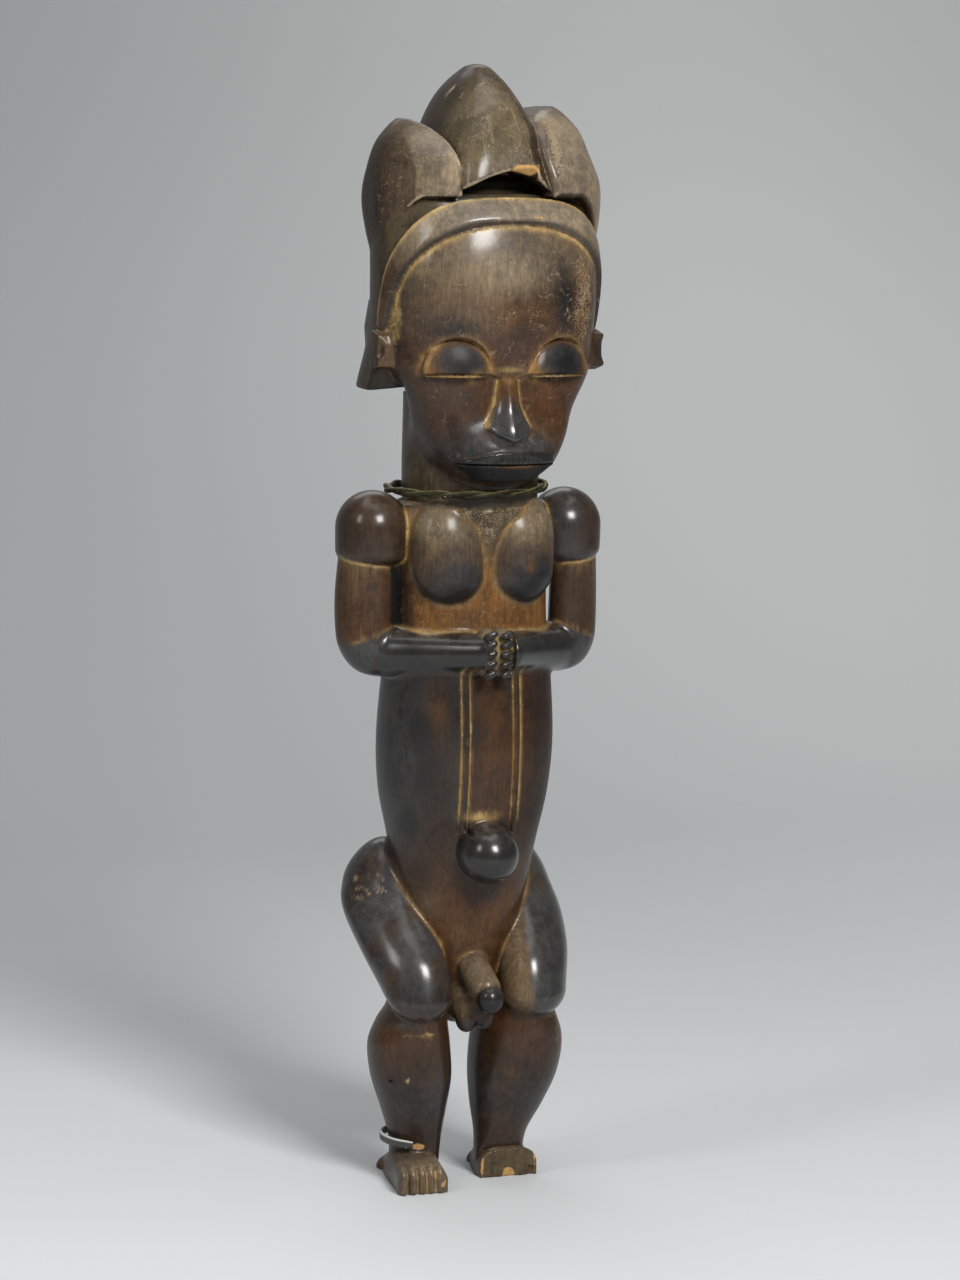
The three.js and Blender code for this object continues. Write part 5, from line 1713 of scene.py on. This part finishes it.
colour = mixed(tree, pale, colour, SCUFF_PALE)
crust_edge = varied(tree, crust, grain["Mottle"], 0.9)
crust_mask = times(tree, spread(tree, crust_edge, 0.22, 0.75), spread(tree, crust, 0.02, 0.15))
ochre = mixed(tree, spread(tree, grain["Mottle"], 0.3, 0.7), OCHRE_DARK, OCHRE_PALE)
colour = mixed(tree, times(tree, crust_mask, 0.75), colour, ochre)
worn_mask = spread(tree, varied(tree, bare, grain["Mottle"], 1.1), 0.36, 0.60)
colour = mixed(tree, worn_mask, colour, mixed(tree, grain["Fibres"], BARE_DARK, BARE_PALE))
tree.links.new(colour, shader.inputs["Base Color"])
print("colour of the wood is mixed in", len(tree.nodes), "nodes")

# %% [markdown]
# The gloss that was painted drives the roughness and a clear coat of oil. Crust, bare wood, dust and
# scuffs lie over the oil, so they take the coat away again. Fibres, pits and crust stand as relief.

# %% Gloss and relief of the wood
rough = varied(tree, spread(tree, gloss, 0.0, 1.0, 0.68, 0.32), grain["Mottle"], 0.35)
rough = minus(tree, rough, times(tree, resin_mask, 0.08))
covered = larger(tree, larger(tree, crust_mask, worn_mask), larger(tree, dusty, pale))
rough = plus(tree, rough, times(tree, covered, 0.3), True)
tree.links.new(rough, shader.inputs["Roughness"])
shader.inputs["Coat Roughness"].default_value = 0.21
shader.inputs["Specular IOR Level"].default_value = 0.10
coat = times(tree, gloss, minus(tree, 1.0, times(tree, covered, 0.85)), True)
tree.links.new(coat, shader.inputs["Coat Weight"])
pits = grouped(tree, speckle_tree, Place=place, Size=0.9, Amount=0.3)["Mask"]
height = minus(tree, times(tree, grain["Fibres"], 0.35), times(tree, pits, 0.3))
height = plus(tree, height, times(tree, grain["Mottle"], 0.7))
height = plus(tree, height, times(tree, minus(tree, crust_mask, pale), 0.5))
bump = add_node(tree, "ShaderNodeBump", {"Height": height, "Strength": 0.32, "Distance": 0.0005})
tree.links.new(bump.outputs[0], shader.inputs["Normal"])
for piece in pieces.values():
    piece.data.materials.clear()
    piece.data.materials.append(oiled_wood)
    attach(piece, "root")
    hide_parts("figure")
print("wood laid on", list(pieces))

# %% [markdown]
# ## Neck ring and anklet
# The ring is two strands of copper wire twisted together and grown over with green-black crust. The
# anklet is a strip of grey metal bent round the leg. Both are swept along the line of the solid. A
# curve with a bevel could do it too, but places worked out in a loop keep every twist and swell exact.


# %% Swept pieces
def swept(name, centres, outs, ups, profile, closed=False):
    """A closed profile of (out, up) places swept along centres. Ends are capped if it isn't a ring."""
    count, sides = len(centres), len(profile[0])
    points = []
    for centre, out, up, outline in zip(centres, outs, ups, profile):
        points += [centre + out * a + up * b for a, b in outline]
    faces = []
    for i in range(count if closed else count - 1):
        j = (i + 1) % count
        for k in range(sides):
            m = (k + 1) % sides
            faces.append((i * sides + k, i * sides + m, j * sides + m, j * sides + k))
    if not closed:
        for i in (0, count - 1):
            points.append(centres[i])
            hub = len(points) - 1
            for k in range(sides):
                m = (k + 1) % sides
                first, second = (m, k) if i == 0 else (k, m)
                faces.append((i * sides + first, i * sides + second, hub))
    mesh = bpy.data.meshes.new(name)
    mesh.from_pydata([tuple(p * MM) for p in points], [], faces)
    mesh.shade_smooth()
    rim = mesh.attributes.new("rim", "FLOAT", "POINT")
    tallest = max(place[1] for place in profile[0])
    upper = [profile[i][k][1] / tallest for i in range(count) for k in range(sides)]
    rim.data.foreach_set("value", upper + [0.0] * (len(points) - len(upper)))
    piece = bpy.data.objects.new(name, mesh)
    scene.collection.objects.link(piece)
    return piece


print("a swept piece also keeps its rim, for the metal to read")

# %% [markdown]
# The two strands wind round each other six times on their way round the neck. Small waves in their
# line and thickness keep them from looking as if a machine had drawn them.

# %% Neck ring
RING_RADIUS, RING_X, RING_Z, RING_SLOPE = 42, -2.5, 374.8, 0.04
STRAND, STRAND_OFF, STRAND_TURNS, STRAND_SIDES = 1.4, 0.95, 6, 12
RING_STEPS = 420
strands = []
for phase in (0, math.pi):
    centres, outs, ups, profile = [], [], [], []
    for i in range(RING_STEPS):
        a = 2 * math.pi * i / RING_STEPS
        radial = np.array((math.cos(a), math.sin(a), 0))
        level = np.array((0, 0, 1.0))
        twist = STRAND_TURNS * a + phase + 0.5 * math.sin(3 * a)
        x = RING_RADIUS * math.cos(a)
        middle = np.array((RING_X + x, RING_RADIUS * math.sin(a), RING_Z + RING_SLOPE * x))
        middle = middle + level * 0.5 * math.sin(2 * a + 1)
        centres.append(middle + STRAND_OFF * (radial * math.cos(twist) + level * math.sin(twist)))
        outs.append(radial)
        ups.append(level)
        lumps = 1 + 0.06 * math.sin(23 * a + phase) + 0.05 * math.sin(57 * a)
        corners = [2 * math.pi * k / STRAND_SIDES for k in range(STRAND_SIDES)]
        profile.append([(-STRAND * lumps * math.cos(c), STRAND * lumps * math.sin(c)) for c in corners])
    strands.append(swept("neck_ring_strand", centres, outs, ups, profile, closed=True))
print("ring strands:", len(strands), "of", len(strands[0].data.polygons), "faces")

# %% [markdown]
# The strip starts at its square front end, opens out a little as it goes round the leg and stays open
# behind. Its section is an oval with squared ends, as hammered strip has.

# %% Anklet
STRIP_TALL, STRIP_THICK, STRIP_NEAR, STRIP_FAR = 4.4, 1.5, 15.6, 18.4
STRIP_START, STRIP_SWEEP = -112, -215
STRIP_X, STRIP_Y, STRIP_Z, STRIP_RISE = -26, -3.4, 22.6, 3.2
STRIP_STEPS, STRIP_SIDES = 90, 16
centres, outs, ups, profile = [], [], [], []
for i in range(STRIP_STEPS + 1):
    part = i / STRIP_STEPS
    a = math.radians(STRIP_START + STRIP_SWEEP * part)
    radius = STRIP_NEAR + (STRIP_FAR - STRIP_NEAR) * part + STRIP_THICK / 2
    level = STRIP_Z + STRIP_RISE * math.sin(part * math.pi / 2)
    centres.append(np.array((STRIP_X + radius * math.cos(a), STRIP_Y + radius * math.sin(a), level)))
    outs.append(np.array((math.cos(a), math.sin(a), 0)))
    ups.append(np.array((0, 0, 1.0)))
    taper = 1 - 0.18 * math.exp(-((part / 0.04) ** 2))
    tall, thick = STRIP_TALL / 2 * taper, STRIP_THICK / 2 * (1 + 0.08 * math.sin(9 * a))
    corners = [2 * math.pi * k / STRIP_SIDES for k in range(STRIP_SIDES)]
    oval = lambda c, half: half * np.sign(round(c, 9)) * abs(c) ** 0.6
    profile.append([(oval(math.cos(c), thick), oval(math.sin(c), tall)) for c in corners])
anklet = swept("anklet_strip", centres, outs, ups, profile)
print("anklet faces:", len(anklet.data.polygons))

# %% [markdown]
# Both metals follow one recipe: dull and bright metal in clouds, crust in specks, and more of it along
# the rim. On the ring the crust is green-black and hides nearly all the copper. On the strip it is
# pale, as where grey metal is rubbed along its edges.


# %% Metal materials
def metal(name, dull, bright, crust_colour, crusted, shine, fineness):
    made, tree, shader = material(name)
    place = own_place(tree)
    grain = grouped(tree, grain_tree, Fineness=fineness, Stretch=0.6)
    colour = mixed(tree, spread(tree, grain["Clouds"], 0.35, 0.65), dull, bright)
    speck = grouped(tree, speckle_tree, Place=place, Size=1.6, Amount=crusted)["Mask"]
    colour = mixed(tree, speck, colour, crust_colour)
    dusty = spread(tree, attribute(tree, "rim"), 0.55, 0.95)
    colour = mixed(tree, times(tree, dusty, 0.8), colour, crust_colour)
    tree.links.new(colour, shader.inputs["Base Color"])
    clean = minus(tree, 0.85, larger(tree, speck, dusty), True)
    tree.links.new(clean, shader.inputs["Metallic"])
    rough = plus(tree, shine, times(tree, larger(tree, speck, grain["Fibres"]), 0.4), True)
    tree.links.new(rough, shader.inputs["Roughness"])
    height = plus(tree, times(tree, speck, 0.8), times(tree, grain["Fibres"], 0.5))
    bump = add_node(tree, "ShaderNodeBump", {"Height": height, "Strength": 0.5, "Distance": 0.0005})
    tree.links.new(bump.outputs[0], shader.inputs["Normal"])
    return made


crusted_copper = metal(
    "crusted_copper",
    dull=(0.020, 0.018, 0.010, 1),
    bright=(0.060, 0.052, 0.026, 1),
    crust_colour=(0.16, 0.14, 0.055, 1),
    crusted=0.35,
    shine=0.42,
    fineness=1.0,
)
grey_iron = metal(
    "grey_iron",
    dull=(0.07, 0.068, 0.065, 1),
    bright=(0.17, 0.165, 0.16, 1),
    crust_colour=(0.58, 0.57, 0.54, 1),
    crusted=0.2,
    shine=0.30,
    fineness=0.7,
)
for strand in strands:
    strand.data.materials.append(crusted_copper)
    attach(strand, "root")
    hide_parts("neck_ring")
anklet.data.materials.append(grey_iron)
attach(anklet, "root")
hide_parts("anklet")
print("metals:", crusted_copper.name, "and", grey_iron.name)

# %% [markdown]
# ## Studio
# He stands on a pale floor that sweeps up into the backdrop, so no line shows where they meet. The
# paper's colour holds painted light: it is lighter near the camera and darker behind him on the left
# and higher up, as in the photograph. Its back is clear, so that it doesn't stand in the way of a view
# from behind.

# %% Floor and backdrop
FLOOR_WIDE, FLOOR_NEAR, FLOOR_FAR, SWEEP_RADIUS, WALL_TALL = 9.0, -4.0, 1.9, 0.9, 4.0
line = [(FLOOR_NEAR, 0.0), (FLOOR_FAR - SWEEP_RADIUS, 0.0)]
SWEEP_STEPS = 16
for k in range(1, SWEEP_STEPS + 1):
    a = math.pi / 2 * k / SWEEP_STEPS
    line.append((FLOOR_FAR - SWEEP_RADIUS + SWEEP_RADIUS * math.sin(a), SWEEP_RADIUS * (1 - math.cos(a))))
line.append((FLOOR_FAR, WALL_TALL))
corners = [(x, y, z) for y, z in line for x in (-FLOOR_WIDE / 2, FLOOR_WIDE / 2)]
mesh = bpy.data.meshes.new("studio_floor")
mesh.from_pydata(corners, [], [(2 * k, 2 * k + 1, 2 * k + 3, 2 * k + 2) for k in range(len(line) - 1)])
mesh.shade_smooth()
floor = bpy.data.objects.new("studio_floor", mesh)
scene.collection.objects.link(floor)
paper, tree, shader = material("pale_paper")
grain = grouped(tree, grain_tree, Fineness=0.4, Stretch=1.0)
depth = add_node(tree, "ShaderNodeSeparateXYZ", {0: own_place(tree)}).outputs
# These tones paint the falloff of light on the paper: lighter near the camera, darker far back on the left
# and higher up.
NEAR_LEFT, NEAR_RIGHT = (0.605, 0.618, 0.630, 1), (0.550, 0.563, 0.576, 1)
FAR_LEFT, FAR_RIGHT = (0.335, 0.349, 0.352, 1), (0.605, 0.618, 0.620, 1)
near_tone = mixed(tree, spread(tree, depth["X"], -0.5, 0.5), NEAR_LEFT, NEAR_RIGHT)
far_tone = mixed(tree, spread(tree, depth["X"], 0.1, 1.1), FAR_LEFT, FAR_RIGHT)
paper_tone = mixed(tree, spread(tree, depth["Y"], -0.6, 2.0), near_tone, far_tone)
high_shade = mixed(tree, spread(tree, depth["Z"], 0.25, 0.65), (1, 1, 1, 1), (0.90, 0.90, 0.90, 1))
paper_tone = mixed(tree, 1.0, paper_tone, high_shade, "MULTIPLY")
tree.links.new(paper_tone, shader.inputs["Base Color"])
shader.inputs["Roughness"].default_value = 0.85
behind = add_node(tree, "ShaderNodeNewGeometry").outputs["Backfacing"]
clear = add_node(tree, "ShaderNodeBsdfTransparent").outputs[0]
seen = add_node(tree, "ShaderNodeMixShader", {0: behind, 1: shader.outputs[0], 2: clear}).outputs[0]
tree.links.new(seen, tree.nodes["Material Output"].inputs["Surface"])
mesh.materials.append(paper)
print("floor and wall:", len(mesh.polygons), "faces")

# %% [markdown]
# The highlights in the photograph are small and crisp, so the key light is a small square, high in
# front. A weaker one fills from the left of the picture, and a broad one hangs above. The weak light
# behind him is there for other views, and shows the carving of the back.


# %% Lights
def soft_light(name, place, aim, size, power, tint=(1, 1, 1)):
    lamp = bpy.data.lights.new(name, "AREA")
    lamp.shape = "RECTANGLE"
    lamp.size, lamp.size_y = size
    lamp.energy = power
    lamp.color = tint
    holder = bpy.data.objects.new(name, lamp)
    holder.location = place
    holder.rotation_euler = (Vector(aim) - Vector(place)).to_track_quat("-Z", "Y").to_euler()
    scene.collection.objects.link(holder)


soft_light("key", (0.10, -1.95, 1.62), (0, 0, 0.33), (0.70, 0.70), 60, (1.0, 0.99, 0.97))
soft_light("fill", (-1.95, -0.75, 1.45), (0, 0, 0.3), (0.45, 0.8), 11, (1.0, 1.0, 1.0))
soft_light("top", (-0.1, -0.1, 2.5), (0, 0, 0), (1.8, 1.6), 20)
soft_light("back", (0.25, 1.5, 1.75), (0, 0, 0.3), (1.4, 0.7), 7, (0.97, 0.98, 1.0))
world = bpy.data.worlds.new("studio air")
world.use_nodes = True
air = world.node_tree.nodes["Background"]
air.inputs["Color"].default_value = (0.82, 0.82, 0.82, 1)
air.inputs["Strength"].default_value = 0.16
scene.world = world

# %% [markdown]
# The camera stands 22 degrees round to his right, a little higher than the tip of his crest, and looks
# down by about five degrees with a long lens. A small roll and shift follow the photograph's tilt.

# %% Camera
CAMERA_ROUND, CAMERA_AWAY, CAMERA_HIGH = math.radians(22), 2.605, 0.6307
LOOK_DOWN, LOOK_ASIDE, ROLL, LENS, SHIFT = 5.309, 0.115, 1.235, 137.67, -0.14
lens = bpy.data.cameras.new("camera")
lens.lens, lens.sensor_width, lens.shift_y = LENS, 36.0, SHIFT
camera = bpy.data.objects.new("camera", lens)
camera.location = (-math.sin(CAMERA_ROUND) * CAMERA_AWAY, -math.cos(CAMERA_ROUND) * CAMERA_AWAY, CAMERA_HIGH)
heading, pitch = CAMERA_ROUND + math.radians(LOOK_ASIDE), math.radians(LOOK_DOWN)
ahead = Vector((math.sin(heading) * math.cos(pitch), math.cos(heading) * math.cos(pitch), -math.sin(pitch)))
aim = ahead.to_track_quat("-Z", "Y") @ Quaternion((0, 0, 1), math.radians(ROLL))
camera.rotation_mode = "QUATERNION"
camera.rotation_quaternion = aim
scene.collection.objects.link(camera)
scene.camera = camera
print("camera at", [round(v, 3) for v in camera.location])
